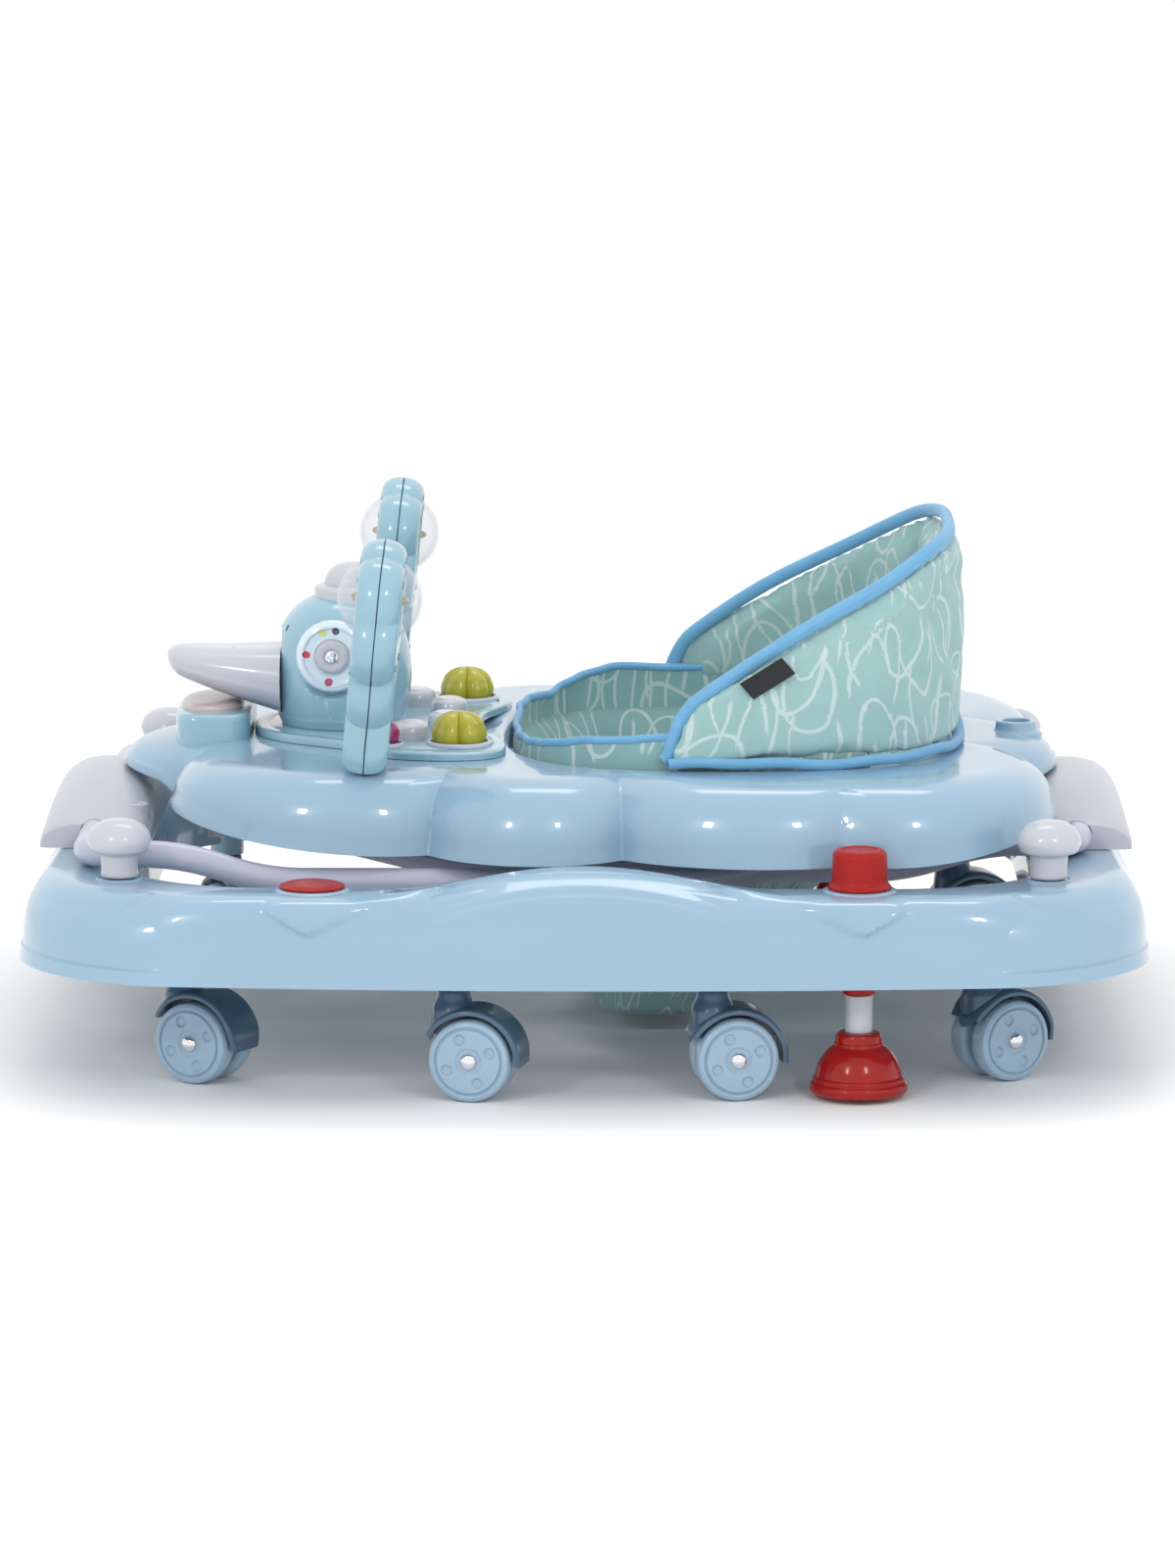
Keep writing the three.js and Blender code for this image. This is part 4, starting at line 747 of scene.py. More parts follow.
def tray_grid():
    """The shell as rays: out from the seat hole's lip over the top and down the shoulder, then back inside
    the wall."""
    stations = 900
    turn = (np.arange(stations) + 0.5) / stations * 2 * np.pi
    turn = turn[:, None]
    reach, hole = lobe_reach(turn), hole_reach(turn)
    cos, sin = np.cos(turn), np.sin(turn)
    rim = rim_height(TRAY_MIDDLE + reach * cos, reach * sin)
    skins = []
    for wall in (0, TRAY_WALL):
        steps = np.linspace(0, 1, 30)[None] ** 1.7
        inward = wall + SHOULDER * 1.15 * steps
        radius = reach - inward
        x, y = TRAY_MIDDLE + radius * cos, radius * sin
        if wall:
            side = rim + (TRAY_TOP - wall - rim) * (1 - (1 - steps) ** 2.6) ** (1 / 2.6)
        else:
            puff = puff_height(x, y)
            puff = np.where(steps == 0, 0, puff)
            side = rim + (TRAY_TOP - rim) * puff
            lip = ease(-side, -rim - 7, -rim - 5.2) * (puff < 0.5)
            radius = radius - 1.8 + 1.8 * lip
        top_share = np.linspace(0, 1, 22)[None][:, 1:]
        top_radius = radius[:, -1:] + (hole + 7 - radius[:, -1:]) * top_share
        tx, ty = TRAY_MIDDLE + top_radius * cos, top_radius * sin
        top = TRAY_TOP - wall - (0 if wall else 1) * (TRAY_TOP - TRAY_RIM) * (1 - puff_height(tx, ty)) * ease(
            top_radius - hole, 6, 30)
        lip_turn = np.linspace(0, np.pi / 2, 7)[None][:, 1:]
        curl = hole + wall * 0.6 + 7 * (1 - np.sin(lip_turn)) + 0 * turn
        curl_z = TRAY_TOP - wall - 7 * (1 - np.cos(lip_turn)) + 0 * turn
        down = hole + wall * 0.9 + 0 * turn
        down_z = np.full_like(down, TRAY_TOP - 16.0)
        radius = np.concatenate([radius, top_radius, curl, down], 1)
        height = np.concatenate([side, top, curl_z, down_z], 1)
        grid = np.stack([TRAY_MIDDLE + radius * cos, radius * sin, height], -1)
        skins.append(grid if not wall else grid[:, ::-1])
    return np.concatenate(skins, 1)


tray_shells = [shell(tray_grid(), loop_rows=True, loop_columns=True)]
collar = rounded([(9, 176), (9, 192), (10.4, 192.4), (13, 192), (13.6, 187), (17, 184.6), (17, 180),
                  (9, 176)], 1.2)
tray_shells.append(spun(collar, (SOCKET_X, 0, 0), 72))
tray = build("cloud_tray", tray_shells, [blue_plastic])
fit(tray, "tray", "blue_plastic", "tray_shell")

# ------------------------------------------------------------ tray brackets
# White ribbed cheeks hang under the tray: the front tube's pins turn in a bore, the rear tube's pins slide in
# a long slot.
TRAY_PIN_X, SLIDE_TRAVEL = 225, 76
bracket_plastic = moulded("bracket_plastic", (0.52, 0.53, 0.54), 0.4, grain=1.6)


def cheek_shells(pin_x, travel, inner_y):
    """A plate round its slot: rays from the slot's nearest point out to the plate's chamfered outline, on both
    faces, with a raised bead along the outline and round the slot."""
    start, end = pin_x - 11, pin_x + travel + 11
    top = TRAY_TOP - TRAY_WALL - 0.3
    slope = min(26, (end - start) / 2 - 2)
    corners = np.array([(start, 139), (end, 139), (end, top - 13), (end - slope, top), (start + slope, top),
                        (start, top - 13), (start, 139)], float)
    outline = evenly(corners, 240, endpoint=False)
    anchor = np.stack([np.clip(outline[:, 0], pin_x, pin_x + travel), np.full(240, TRAY_PIN_Z)], -1)
    away = outline - anchor
    inner = anchor + away / np.linalg.norm(away, axis=1, keepdims=True) * 5.45
    rings = []
    for share, proud in ((0, 0), (0, 1.0), (0.1, 1.0), (0.14, 0), (0.84, 0), (0.88, 1.0), (1, 1.0), (1, 0)):
        rings.append((inner + (outline - inner) * share, 1.5 + proud))
    grid = []
    for flip in (-1, 1):
        for spot, half in (rings[1:-1] if flip < 0 else rings[1:-1][::-1]):
            grid.append(np.stack([spot[:, 0], np.full(240, inner_y + flip * half), spot[:, 1]], -1))
    return shell(np.stack(grid), loop_rows=True, loop_columns=True)


for side, where in ((-1, "near"), (1, "far")):
    for which, pin_x, travel, leg_y in (("slide", -TRAY_PIN_X, SLIDE_TRAVEL, REAR_TUBE_Y),
                                        ("pivot", TRAY_PIN_X, 0.01, FRONT_TUBE_Y)):
        inner_y = side * (leg_y - TUBE_R - 1 - 2.5)
        cheek = build(f"{where}_{which}_cheek", [cheek_shells(pin_x, travel, inner_y)], [bracket_plastic])
        fit(cheek, "tray", "white_plastic", f"{where}_{which}_bracket")

# ------------------------------------------------------------ seat back
# The back of the seat is a padded U of printed mint cloth that stands on the tray, low at its front ends and
# high behind. It is blown up like a cushion, then its seams are bound in bright blue tape.
SEAT_REAR, SEAT_FRONT, SEAT_HALF = 237, 52, 172
SEAT_LEAN, SEAT_HIGH, SEAT_LOW = 20, 136, 24
SEAT_BASE = TRAY_TOP + 0.3
MINT = (0.315, 0.505, 0.50)


def printed_cloth(name, colour):
    """Woven cloth with a white print of tall hand-drawn loops: three layers of wavering ovals, each open at one
    end, over a plain weave whose threads show in the bump and in a faint mottle."""
    finish = Finish(name, colour, 0.82, Sheen_Weight=0.25, Sheen_Roughness=0.45)
    point = finish.node("ShaderNodeUVMap", {"uv_map": "cloth"})
    print_mask = None
    for number, (wide, tall, tilt, shift) in enumerate(((0.036, 0.070, 0.12, 0.3), (0.043, 0.058, -0.20, 0.71),
                                                        (0.052, 0.080, 0.26, 0.05))):
        wander = finish.node("ShaderNodeTexNoise", {"noise_dimensions": "2D"},
                             {"Vector": finish.node("ShaderNodeMapping", inputs={
                                 "Vector": point, "Location": (number * 3.1 + 0.7, number * 1.7, 0)}),
                              "Scale": 15.0, "Detail": 0.0}, output="Color")
        moved = finish.node("ShaderNodeVectorMath", {"operation": "MULTIPLY_ADD"},
                            {0: wander, 1: (0.020, 0.020, 0), 2: point})
        turned_point = finish.node("ShaderNodeMapping", inputs={"Vector": moved, "Rotation": (0, 0, tilt)})
        u, v = finish.along(turned_point, 0), finish.along(turned_point, 1)
        row = (v / tall + shift).whole()
        column = u / wide + row * 0.37 + shift
        across, upward = column.part() - 0.5, (v / tall + shift).part() - 0.5
        oval = ((across * across) / 0.13 + (upward * upward) / 0.17).root()
        slope_u, slope_v = across / (0.13 * wide), upward / (0.17 * tall)
        slope = (slope_u * slope_u + slope_v * slope_v).root()
        line = 1 - finish.step(abs(oval - 1) * oval / slope, 0.0009, 0.0014)
        flip = (column.whole() * 0.5).part() * 4 - 1
        gap = finish.step(upward * flip, 0.16, 0.22)
        line = line * (1 - gap * (1 - finish.step(abs(across), 0.30, 0.34)))
        print_mask = line if print_mask is None else print_mask.most(line)
    u, v = finish.along(point, 0), finish.along(point, 1)
    threads = (u * 4200).sine() * (v * 4200).sine()
    mottle = finish.noise(point, 30.0, 4.0)
    cloth = finish.mixed(mottle, shaded(colour, 0.88), shaded(colour, 1.12))
    cloth = finish.mixed(threads * 0.05 + 0.05, cloth, shaded(colour, 0.7))
    faded = finish.noise(point, 55.0, 2.0) * 0.3 + 0.42
    finish.feed(
        Base_Color=finish.mixed(print_mask * faded, cloth, (0.66, 0.74, 0.73, 1)),
        Roughness=0.80 + mottle * 0.12 - print_mask * 0.12,
    )
    finish.raise_surface(threads * 0.5 + mottle * 3 + print_mask * 0.6, 0.35, 0.0006)
    return finish.material


def bound_tape(name, colour):
    """Folded cotton tape: a fine twill that runs round the cord and a row of stitches beside its edge."""
    finish = Finish(name, colour, 0.7, Sheen_Weight=0.3, Sheen_Roughness=0.4)
    point = finish.node("ShaderNodeUVMap", {"uv_map": "cloth"})
    u, v = finish.along(point, 0), finish.along(point, 1)
    twill = (u * 5200 + v * 9000).sine()
    stitch = (u * 2100).sine().most(0) * (1 - finish.step(abs(v - 0.0062), 0.0004, 0.0008))
    worn = finish.noise(point, 60.0, 3.0)
    tint = finish.mixed(worn, shaded(colour, 0.86), shaded(colour, 1.14))
    finish.feed(Base_Color=finish.mixed(stitch * 0.5, tint, shaded(colour, 1.5)), Roughness=0.64 + worn * 0.14)
    finish.raise_surface(twill * 0.4 + worn * 2 + stitch * 2, 0.4, 0.0004)
    return finish.material


mint_cloth = printed_cloth("mint_print_cloth", MINT)
blue_tape = bound_tape("blue_tape", (0.16, 0.41, 0.66))


def seat_plan(samples):
    """The U in plan at even lengths: a squared half oval; gives place, outward direction, height and length
    run."""
    turn = np.linspace(-1, 1, 6001)
    turn = np.sign(turn) * np.abs(turn) ** 1.6 * np.pi / 2
    turn = np.where(np.abs(turn) > np.pi / 4, np.sign(turn) * (np.pi / 2 - (np.pi / 2 - np.abs(turn)) ** 1.6
                    / (np.pi / 4) ** 0.6), turn)
    x = SEAT_FRONT + (SEAT_REAR - SEAT_FRONT) * squared(np.cos(turn), 3.2)
    y = SEAT_HALF * squared(np.sin(turn), 3.2)
    run = np.concatenate([[0], np.cumsum(np.hypot(np.diff(x), np.diff(y)))])
    even = np.linspace(0, run[-1], samples)
    x, y = np.interp(even, run, x), np.interp(even, run, y)
    middle = (SEAT_REAR + SEAT_FRONT) / 2
    out_x = np.maximum((x - middle) / (SEAT_REAR - middle), 0) ** 3
    out_y = np.sign(y) * np.abs(y / SEAT_HALF) ** 3
    size = np.hypot(out_x, out_y)
    share = (x - SEAT_FRONT) / (SEAT_REAR - SEAT_FRONT)
    height = SEAT_LOW + (SEAT_HIGH - SEAT_LOW) * share ** 0.78
    front = np.clip((x - SEAT_FRONT + 0.6) / 17, 0, 1)
    height = height * (1 - (1 - front) ** 2.2) ** (1 / 2.2)
    return x, y, out_x / size, out_y / size, height, even


def on_seat(plan, depth, up):
    """The point at a depth inside the outer face and a height above the tray: the wings lean in as they
    rise."""
    x, y, out_x, out_y, _, _ = (value[:, None] for value in plan)
    lean = -np.sign(y) * SEAT_LEAN * up / SEAT_HIGH * np.abs(out_y)
    return np.stack(np.broadcast_arrays(x - depth * out_x, y - depth * out_y + lean, SEAT_BASE + up), -1)


def blown(pad, cap, cell, pressure):
    """Swells a pad as cloth under pressure on an even mesh, holds every point within `cap` of where it began,
    and subdivides it once."""
    remesh = pad.modifiers.new("even", "REMESH")
    remesh.mode, remesh.voxel_size, remesh.use_smooth_shade = "VOXEL", cell * MM, True
    pad.data = bpy.data.meshes.new_from_object(pad.evaluated_get(bpy.context.evaluated_depsgraph_get()))
    pad.modifiers.clear()
    count = len(pad.data.vertices)
    before = np.empty(count * 3)
    pad.data.vertices.foreach_get("co", before)
    cloth = pad.modifiers.new("swell", "CLOTH")
    cloth.settings.use_pressure = True
    cloth.settings.uniform_pressure_force = pressure
    cloth.settings.effector_weights.gravity = 0
    cloth.settings.quality = 4
    cloth.settings.tension_stiffness = cloth.settings.compression_stiffness = 20
    for step in range(1, 21):
        bpy.context.scene.frame_set(step)
    swollen = pad.evaluated_get(bpy.context.evaluated_depsgraph_get())
    after = np.empty(count * 3)
    swollen.data.vertices.foreach_get("co", after)
    pad.modifiers.clear()
    bpy.context.scene.frame_set(1)
    moved = (after - before).reshape(-1, 3)
    length = np.linalg.norm(moved, axis=1, keepdims=True)
    moved = moved * np.minimum(1, cap * MM / np.maximum(length, 1e-9))
    pad.data.vertices.foreach_set("co", (before.reshape(-1, 3) + moved).ravel())
    smooth = pad.modifiers.new("smooth", "SUBSURF")
    smooth.levels = smooth.render_levels = 1
    pad.data = bpy.data.meshes.new_from_object(pad.evaluated_get(bpy.context.evaluated_depsgraph_get()))
    pad.modifiers.clear()


plan = seat_plan(300)
height = plan[4][:, None]
outline = rounded([(5, 2), (3.4, 6), (3, 30), (3, 94), (4.6, 99), (7, 100), (9.4, 99), (11, 94), (11, 30),
                   (10.6, 6), (9, 2), (5, 2)], 3, 5)[:-1]
pad_grid = on_seat(plan, outline[:, 0][None], outline[:, 1][None] / 100 * (height - 2) + 1)
pad = build("padded_seat_back", [shell(pad_grid, loop_columns=True, ends=True)], [])
blown(pad, 5, 4.5, 4)
points = np.empty(len(pad.data.vertices) * 3)
pad.data.vertices.foreach_get("co", points)
points = points.reshape(-1, 3) / MM
centre_line = on_seat(plan, np.array([[7.0]]), np.array([[40.0]]))[:, 0]
nearest = np.argmin((points[:, None, 0] - centre_line[None, :, 0]) ** 2
                    + (points[:, None, 1] - centre_line[None, :, 1]) ** 2, axis=1)
length_run = plan[5][nearest]
outward = np.stack([plan[2][nearest], plan[3][nearest]], -1)
from_front = np.minimum(length_run, plan[5][-1] - length_run)
up_share = (points[:, 2] - SEAT_BASE) / plan[4][nearest]
slack = ease(from_front, 60, 150) * np.sin(np.pi * np.clip(up_share, 0, 1)) ** 0.8
folds = (1.5 * np.sin(length_run / 11.5 + points[:, 2] / 26 + 1.3 * np.sin(points[:, 2] / 19))
         + 0.9 * np.sin(length_run / 6.1 - points[:, 2] / 33))
corner = np.exp(-((from_front - 205) / 55) ** 2)
push = (slack * (0.35 + 1.1 * corner) * folds)[:, None] * outward
points[:, :2] += push
pad.data.vertices.foreach_set("co", (points * MM).ravel())
corner_point = np.empty(len(pad.data.loops), np.int32)
pad.data.loops.foreach_get("vertex_index", corner_point)
face = np.where(np.einsum("ij,ij->i", points[:, :2] - centre_line[nearest, :2], outward) < 0, 0.9, 0)
flat_map = np.stack([length_run * MM + face, points[:, 2] * MM], -1)
pad.data.uv_layers.new(name="cloth").data.foreach_set("uv", flat_map[corner_point].ravel())
pad.data.polygons.foreach_set("use_smooth", np.ones(len(pad.data.polygons), bool))
pad.data.materials.append(mint_cloth)
fit(pad, "tray", "seat_fabric", "seat_back_pad")


def tape(path, radius, squash=1.0, sides=20):
    """A cord of binding along a path, with its own map: length along it and length round it, in metres."""
    path = np.array(path, float)
    grid = swept(path, circle(radius, sides) * np.array([1, squash]))
    run = run_along(path)
    around = np.arange(sides) / sides * 2 * np.pi * radius
    flat = np.stack(np.meshgrid(run, around, indexing="ij"), -1) * MM
    return shell(grid, loop_columns=True, ends=True, uv=flat)


top_edge = on_seat(plan, np.array([[6.4]]), plan[4][:, None] - 0.5)[:, 0]
front_down = top_edge[:1] + np.array([-3.0, 0, -2.0])
far_down = front_down * np.array([1, -1, 1])
binding = np.vstack([front_down, top_edge, far_down])
even = np.linspace(0, run_along(binding)[-1], 460)
binding = evenly(binding, 460)
for _ in range(6):
    binding[1:-1] = (binding[:-2] + 2 * binding[1:-1] + binding[2:]) / 4
ripple = 0.5 * np.sin(even / 17)[:, None] * np.array([0, 0, 1])
top_tape = build("seat_top_binding", [tape(binding + ripple, 3.9, 1.15)], [blue_tape])
fit(top_tape, "tray", "seat_fabric")
skirt_line = on_seat(plan, np.array([[-1.2]]), np.full((300, 1), 3.4))[:, 0]
wave = 0.9 * np.sin(plan[5] / 23) + 0.6 * np.sin(plan[5] / 9)
skirt_line[:, 2] += wave + 0.6
foot_tape = build("seat_foot_binding", [tape(skirt_line, 3.4, 1.0)], [blue_tape])
fit(foot_tape, "tray", "seat_fabric")

# ------------------------------------------------------------ blank tag
# A small black woven tag is stitched under the top binding on the near wing; it is left blank.
tag_cloth = Finish("tag_cloth", (0.012, 0.013, 0.016), 0.7)
tag_point = tag_cloth.place()
ribs = (tag_cloth.along(tag_point, 0) * 6000).sine() * 0.5 + tag_cloth.noise(tag_point, 900)
tag_cloth.feed(Roughness=0.6 + tag_cloth.noise(tag_point, 300) * 0.2)
tag_cloth.raise_surface(ribs, 0.4, 0.0003)
tag_corner, tag_along, tag_down = (95.8, 240.2), (26.1, 16.0), (8.6, -9.8)
s, t = np.meshgrid(np.linspace(0, 1, 25), np.linspace(0, 1, 13), indexing="ij")
tag_x = tag_corner[0] + s * tag_along[0] + t * tag_down[0]
tag_z = tag_corner[1] + s * tag_along[1] + t * tag_down[1]
tag_y = -(SEAT_HALF - SEAT_LEAN * (tag_z - SEAT_BASE) / SEAT_HIGH) - 3.6 + 1.2 * t - 0.5 * np.sin(np.pi * s)
front = np.stack([tag_x, tag_y, tag_z], -1)
back = front + np.array([0, 0.8, 0])
tag_grid = np.concatenate([front, back[:, ::-1]], 1)
tag = build("blank_tag", [shell(tag_grid, loop_columns=True, ends=True)], [tag_cloth.material], sharp=50)
fit(tag, "tray", "seat_fabric")

# ------------------------------------------------------------ seat sling
# The sling hangs through the tray's hole: a gathered bag of the same cloth, in a darker copy that paints its
# shade, with two bound leg holes in front and a taped edge that stands a little above the tray between the
# seat's front ends.
BAG_TOP, BAG_LOW, BAG_X = 176, 7, 43
BAG_LONG, BAG_WIDE = 44, 90
LEG_R, LEG_TURN = 42, 0.5
# The sling's cloth is the seat's print in a darker colour: painted shade for the cloth down in the hole.
sling_cloth_shaded = printed_cloth("sling_print_cloth_shaded", (0.25, 0.43, 0.43))


def bag_sizes(share):
    """The bag's level at a share of its depth: centre, half length, half width and height."""
    narrow = share ** 0.65
    half_length = HOLE_LONG - 0.8 + (BAG_LONG - HOLE_LONG + 0.4) * narrow
    half_width = HOLE_WIDE - 0.8 + (BAG_WIDE - HOLE_WIDE + 0.4) * narrow
    height = BAG_TOP + (BAG_LOW + 14 - BAG_TOP) * share ** 0.8
    return HOLE_X + (BAG_X - HOLE_X) * share, half_length, half_width, height


def bag_grid():
    """Rings of a squared oval that narrow with depth and close under the child, with gathers that run down from
    the edge and slack folds across the front."""
    turn = full_turn(720)[:, 0]
    share = np.linspace(0, 1, 110)[:, None]
    middle, half_length, half_width, height = bag_sizes(share)
    cos, sin = squared(np.cos(turn), 3)[None], squared(np.sin(turn), 3)[None]
    length = half_length * cos
    width = half_width * sin
    run = np.cumsum(np.hypot(np.diff(length[40], append=length[40, :1]),
                             np.diff(width[40], append=width[40, :1])))[None]
    gather = 1.3 * np.sin(run / 9 + 2 * np.sin(share * 6)) + 0.9 * np.sin(run / 5.3 + share * 9)
    gather = gather * ease(share, 0.0, 0.12) * ease(-share, -0.98, -0.8) - 1.2
    crossfold = 1.6 * np.sin(share * 46 + 1.2 * np.sin(run / 38))
    crossfold = crossfold * ease(share, 0.25, 0.5) * ease(-share, -0.97, -0.85)
    scale = 1 + (gather + crossfold - 1.4) / np.maximum(half_length, 40)
    x, y = middle + length * scale, width * scale
    rings = np.stack([x, y, height + 0 * cos], -1)
    close = np.linspace(0, 1, 16)[1:, None]
    end_x = BAG_X + (x[-1] - BAG_X) * np.cos(close * np.pi / 2) ** 0.8
    end_y = y[-1] * np.cos(close * np.pi / 2) ** 0.8
    end_z = BAG_LOW + 1.2 + (height[-1] - BAG_LOW - 1.2) * (1 - np.sin(close * np.pi / 2)) + 0 * end_x
    return np.concatenate([rings, np.stack([end_x, end_y, end_z], -1)])


def leg_axes(side):
    """The leg hole's centre, its axis, and two directions across it."""
    axis = np.array([math.cos(LEG_TURN), side * -math.sin(LEG_TURN), 0])
    return np.array([-20.0, side * 80.0, 98.0]), axis, np.array([-axis[1], axis[0], 0.0]), np.array([0, 0, 1.0])


bag = bag_grid()
turn_run = np.linspace(0, 0.95, bag.shape[1])[None] + 0 * bag[..., 0]
depth_run = np.cumsum(np.linalg.norm(np.diff(bag, axis=0, prepend=bag[:1]), axis=-1), 0) * MM
sling_shell = shell(bag, loop_columns=True, uv=np.stack([turn_run, -depth_run], -1))
middles = sling_shell["points"][sling_shell["quads"]].mean(1)
open_leg = np.zeros(len(middles), bool)
for side in (-1, 1):
    centre, axis, across, upright = leg_axes(side)
    away = middles - centre
    reach = np.hypot(away @ across, away @ upright)
    open_leg |= (reach < LEG_R) & (np.abs(away @ axis) < 75)
sling_shell["quads"] = sling_shell["quads"][~open_leg]
sling = build("fabric_sling", [sling_shell], [sling_cloth_shaded], weld=0.0005)
thicken = sling.modifiers.new("thickness", "SOLIDIFY")
thicken.thickness, thicken.offset = 1.2 * MM, 0
fit(sling, "tray", "seat_fabric", "seat_sling")


def leg_edge(side):
    """The line where the leg hole's cylinder leaves the bag: along its axis, the farthest point still on the
    bag."""
    centre, axis, across, upright = leg_axes(side)
    turn = full_turn(160)[:, 0]
    around = centre + LEG_R * (np.cos(turn)[:, None] * across + np.sin(turn)[:, None] * upright)
    toward = -axis if axis[0] > 0 else axis
    low, high = np.full(160, -70.0), np.full(160, 90.0)
    for _ in range(40):
        step = (low + high) / 2
        spot = around + step[:, None] * toward
        share = np.clip((BAG_TOP - spot[:, 2]) / (BAG_TOP - BAG_LOW - 14), 0, 1) ** 1.25
        middle, half_length, half_width, _ = bag_sizes(share)
        inside = (np.abs((spot[:, 0] - middle) / (half_length - 3)) ** 3
                  + np.abs(spot[:, 1] / (half_width - 3)) ** 3 < 1)
        low, high = np.where(inside, step, low), np.where(inside, high, step)
    return around + low[:, None] * toward


def looped_tape(path, radius, sides=16):
    """A binding cord that closes on itself."""
    path = np.array(path, float)
    grid = swept(path, circle(radius, sides), closed=True)
    run = np.arange(len(path)) * np.linalg.norm(path[1] - path[0])
    flat = np.stack(np.meshgrid(run, np.arange(sides) / sides * 2 * np.pi * radius, indexing="ij"), -1) * MM
    return shell(grid, loop_rows=True, loop_columns=True, uv=flat)


for side, where in ((-1, "near"), (1, "far")):
    edge_tape = build(f"{where}_leg_binding", [looped_tape(leg_edge(side), 3.0)], [blue_tape])
    fit(edge_tape, "tray", "seat_fabric")


def edge_band():
    """The sling's top edge: a band that rises out of the hole and stands above the tray in front of the seat's
    wings, with a dip at each wing and soft waves along it."""
    turn = np.linspace(np.radians(57), np.radians(303), 420)[:, None]
    cos, sin = squared(np.cos(turn), 3), squared(np.sin(turn), 3)
    side_share = ease(np.abs(np.sin(turn)), 0.55, 0.98)
    crest = 7 + 11 * side_share - 4 * ease(np.cos(turn), -0.1, 0.5)
    crest = crest + 1.1 * np.sin(turn * 7) + 0.4 * np.sin(turn * 17)
    level = np.linspace(0, 1, 16)[None]
    height = BAG_TOP - 4 + (TRAY_TOP + crest - BAG_TOP + 4) * level
    lean = 3.2 + 2.0 * level ** 2 + 0.9 * np.sin(turn * 31) * level
    x = HOLE_X + (HOLE_LONG - lean) * cos
    y = (HOLE_WIDE - lean) * sin
    return np.stack([x, y, height + 0 * cos], -1)


band = edge_band()
length_along = np.cumsum(np.linalg.norm(np.diff(band[:, 0], axis=0, prepend=band[:1, 0]), axis=-1))
flat = np.stack([np.repeat(length_along[:, None], band.shape[1], 1), band[..., 2]], -1) * MM
# The edge band takes the sling's darker cloth, which is painted shade.
edge = build("sling_edge_band", [shell(band, uv=flat)], [sling_cloth_shaded])
thicken = edge.modifiers.new("thickness", "SOLIDIFY")
thicken.thickness, thicken.offset = 1.4 * MM, 0
fit(edge, "tray", "seat_fabric")
rim_tape = build("sling_edge_binding", [tape(band[::2, -1], 2.2, 1.2)], [blue_tape])
fit(rim_tape, "tray", "seat_fabric")

# ------------------------------------------------------------ toy console
# A low aqua plate clips onto the front of the tray; wells in it hold four oval press keys.
DECK = TRAY_TOP + 0.3
CONSOLE_TOP = DECK + 5
ON_CONSOLE = CONSOLE_TOP + 0.3
KEYS = [(-112, -72), (-90, -31), (-90, 31), (-112, 72)]
aqua_plastic = moulded("aqua_plastic", (0.27, 0.46, 0.555), 0.24, grain=0.6, Coat_Weight=0.6,
                       Coat_Roughness=0.03)


def bezier_run(points, steps):
    """Points along joined cubic curves, each from its start through two handles to its end."""
    share = np.linspace(0, 1, steps, endpoint=False)[:, None]
    run, start = [], np.array(points[0], float)
    for i in range(1, len(points), 3):
        one, two, end = (np.array(p, float) for p in points[i:i + 3])
        run.append((1 - share) ** 3 * start + 3 * share * (1 - share) ** 2 * one
                   + 3 * share ** 2 * (1 - share) * two + share ** 3 * end)
        start = end
    return np.vstack(run)


plate_curve = [(-214, 0), (-214, -62), (-170, -70), (-150, -92), (-138, -128), (-96, -142), (-66, -130),
                (-40, -116), (-52, -70), (-64, -46), (-72, -20), (-72, 20), (-64, 46), (-52, 70), (-40, 116),
                (-66, 130), (-96, 142), (-138, 128), (-150, 92), (-170, 70), (-214, 62), (-214, 0)]
outline = bezier_run(plate_curve, 40)
centre = np.array([-132.0, 0.0])
plate_rings = []
for share, height in ((1.0, DECK), (1.0, DECK + 3.4), (0.992, DECK + 4.5), (0.978, CONSOLE_TOP),
                      (0.9, CONSOLE_TOP),
                      (0.885, CONSOLE_TOP - 0.8), (0.87, CONSOLE_TOP), (0.6, CONSOLE_TOP), (0.3, CONSOLE_TOP)):
    ring = centre + (outline - centre) * share
    plate_rings.append(np.concatenate([ring, np.full((len(ring), 1), height)], 1))
console = build("console_deck", [shell(np.stack(plate_rings), loop_columns=True, ends=True)], [aqua_plastic])
fit(console, "tray", "aqua_plastic", "console_plate")

# ------------------------------------------------------------ console front step
# In front of the plate a low rounded step carries a pink oval pad under the beak; both clip onto the tray.
pink_plastic = moulded("pink_plastic", (0.50, 0.40, 0.42), 0.28, Coat_Weight=0.3, Coat_Roughness=0.06)
step_turn = full_turn(180)[:, 0]


def oval_block(middle, half_length, half_width, levels, power, finish=0):
    """Squared ovals stacked at [height, inset] levels, with both ends closed."""
    rings = []
    for height, inset in levels:
        x = middle[0] + (half_length - inset) * squared(np.cos(step_turn), power)
        y = middle[1] + (half_width - inset) * squared(np.sin(step_turn), power)
        rings.append(np.stack([x, y, np.full_like(x, height)], -1))
    return shell(np.stack(rings), loop_columns=True, ends=True, finish=finish)


low = TRAY_TOP - 0.6
step_shells = [
    oval_block((-239, 0), 24.5, 52, [(low - 3, 0), (low + 13, 0), (low + 15.2, 0.5), (low + 16.4, 1.6),
                                     (low + 16.8, 3.4)], 4.5),
    oval_block((-241, 0), 20, 40, [(low + 16.6, 0), (low + 18.6, 0.3), (low + 20.2, 2.2), (low + 21.2, 6),
                                   (low + 21.6, 12)],
               2.4, 1),
]
front_step = build("console_front_step", step_shells, [aqua_plastic, pink_plastic])
fit(front_step, "tray", "aqua_plastic")

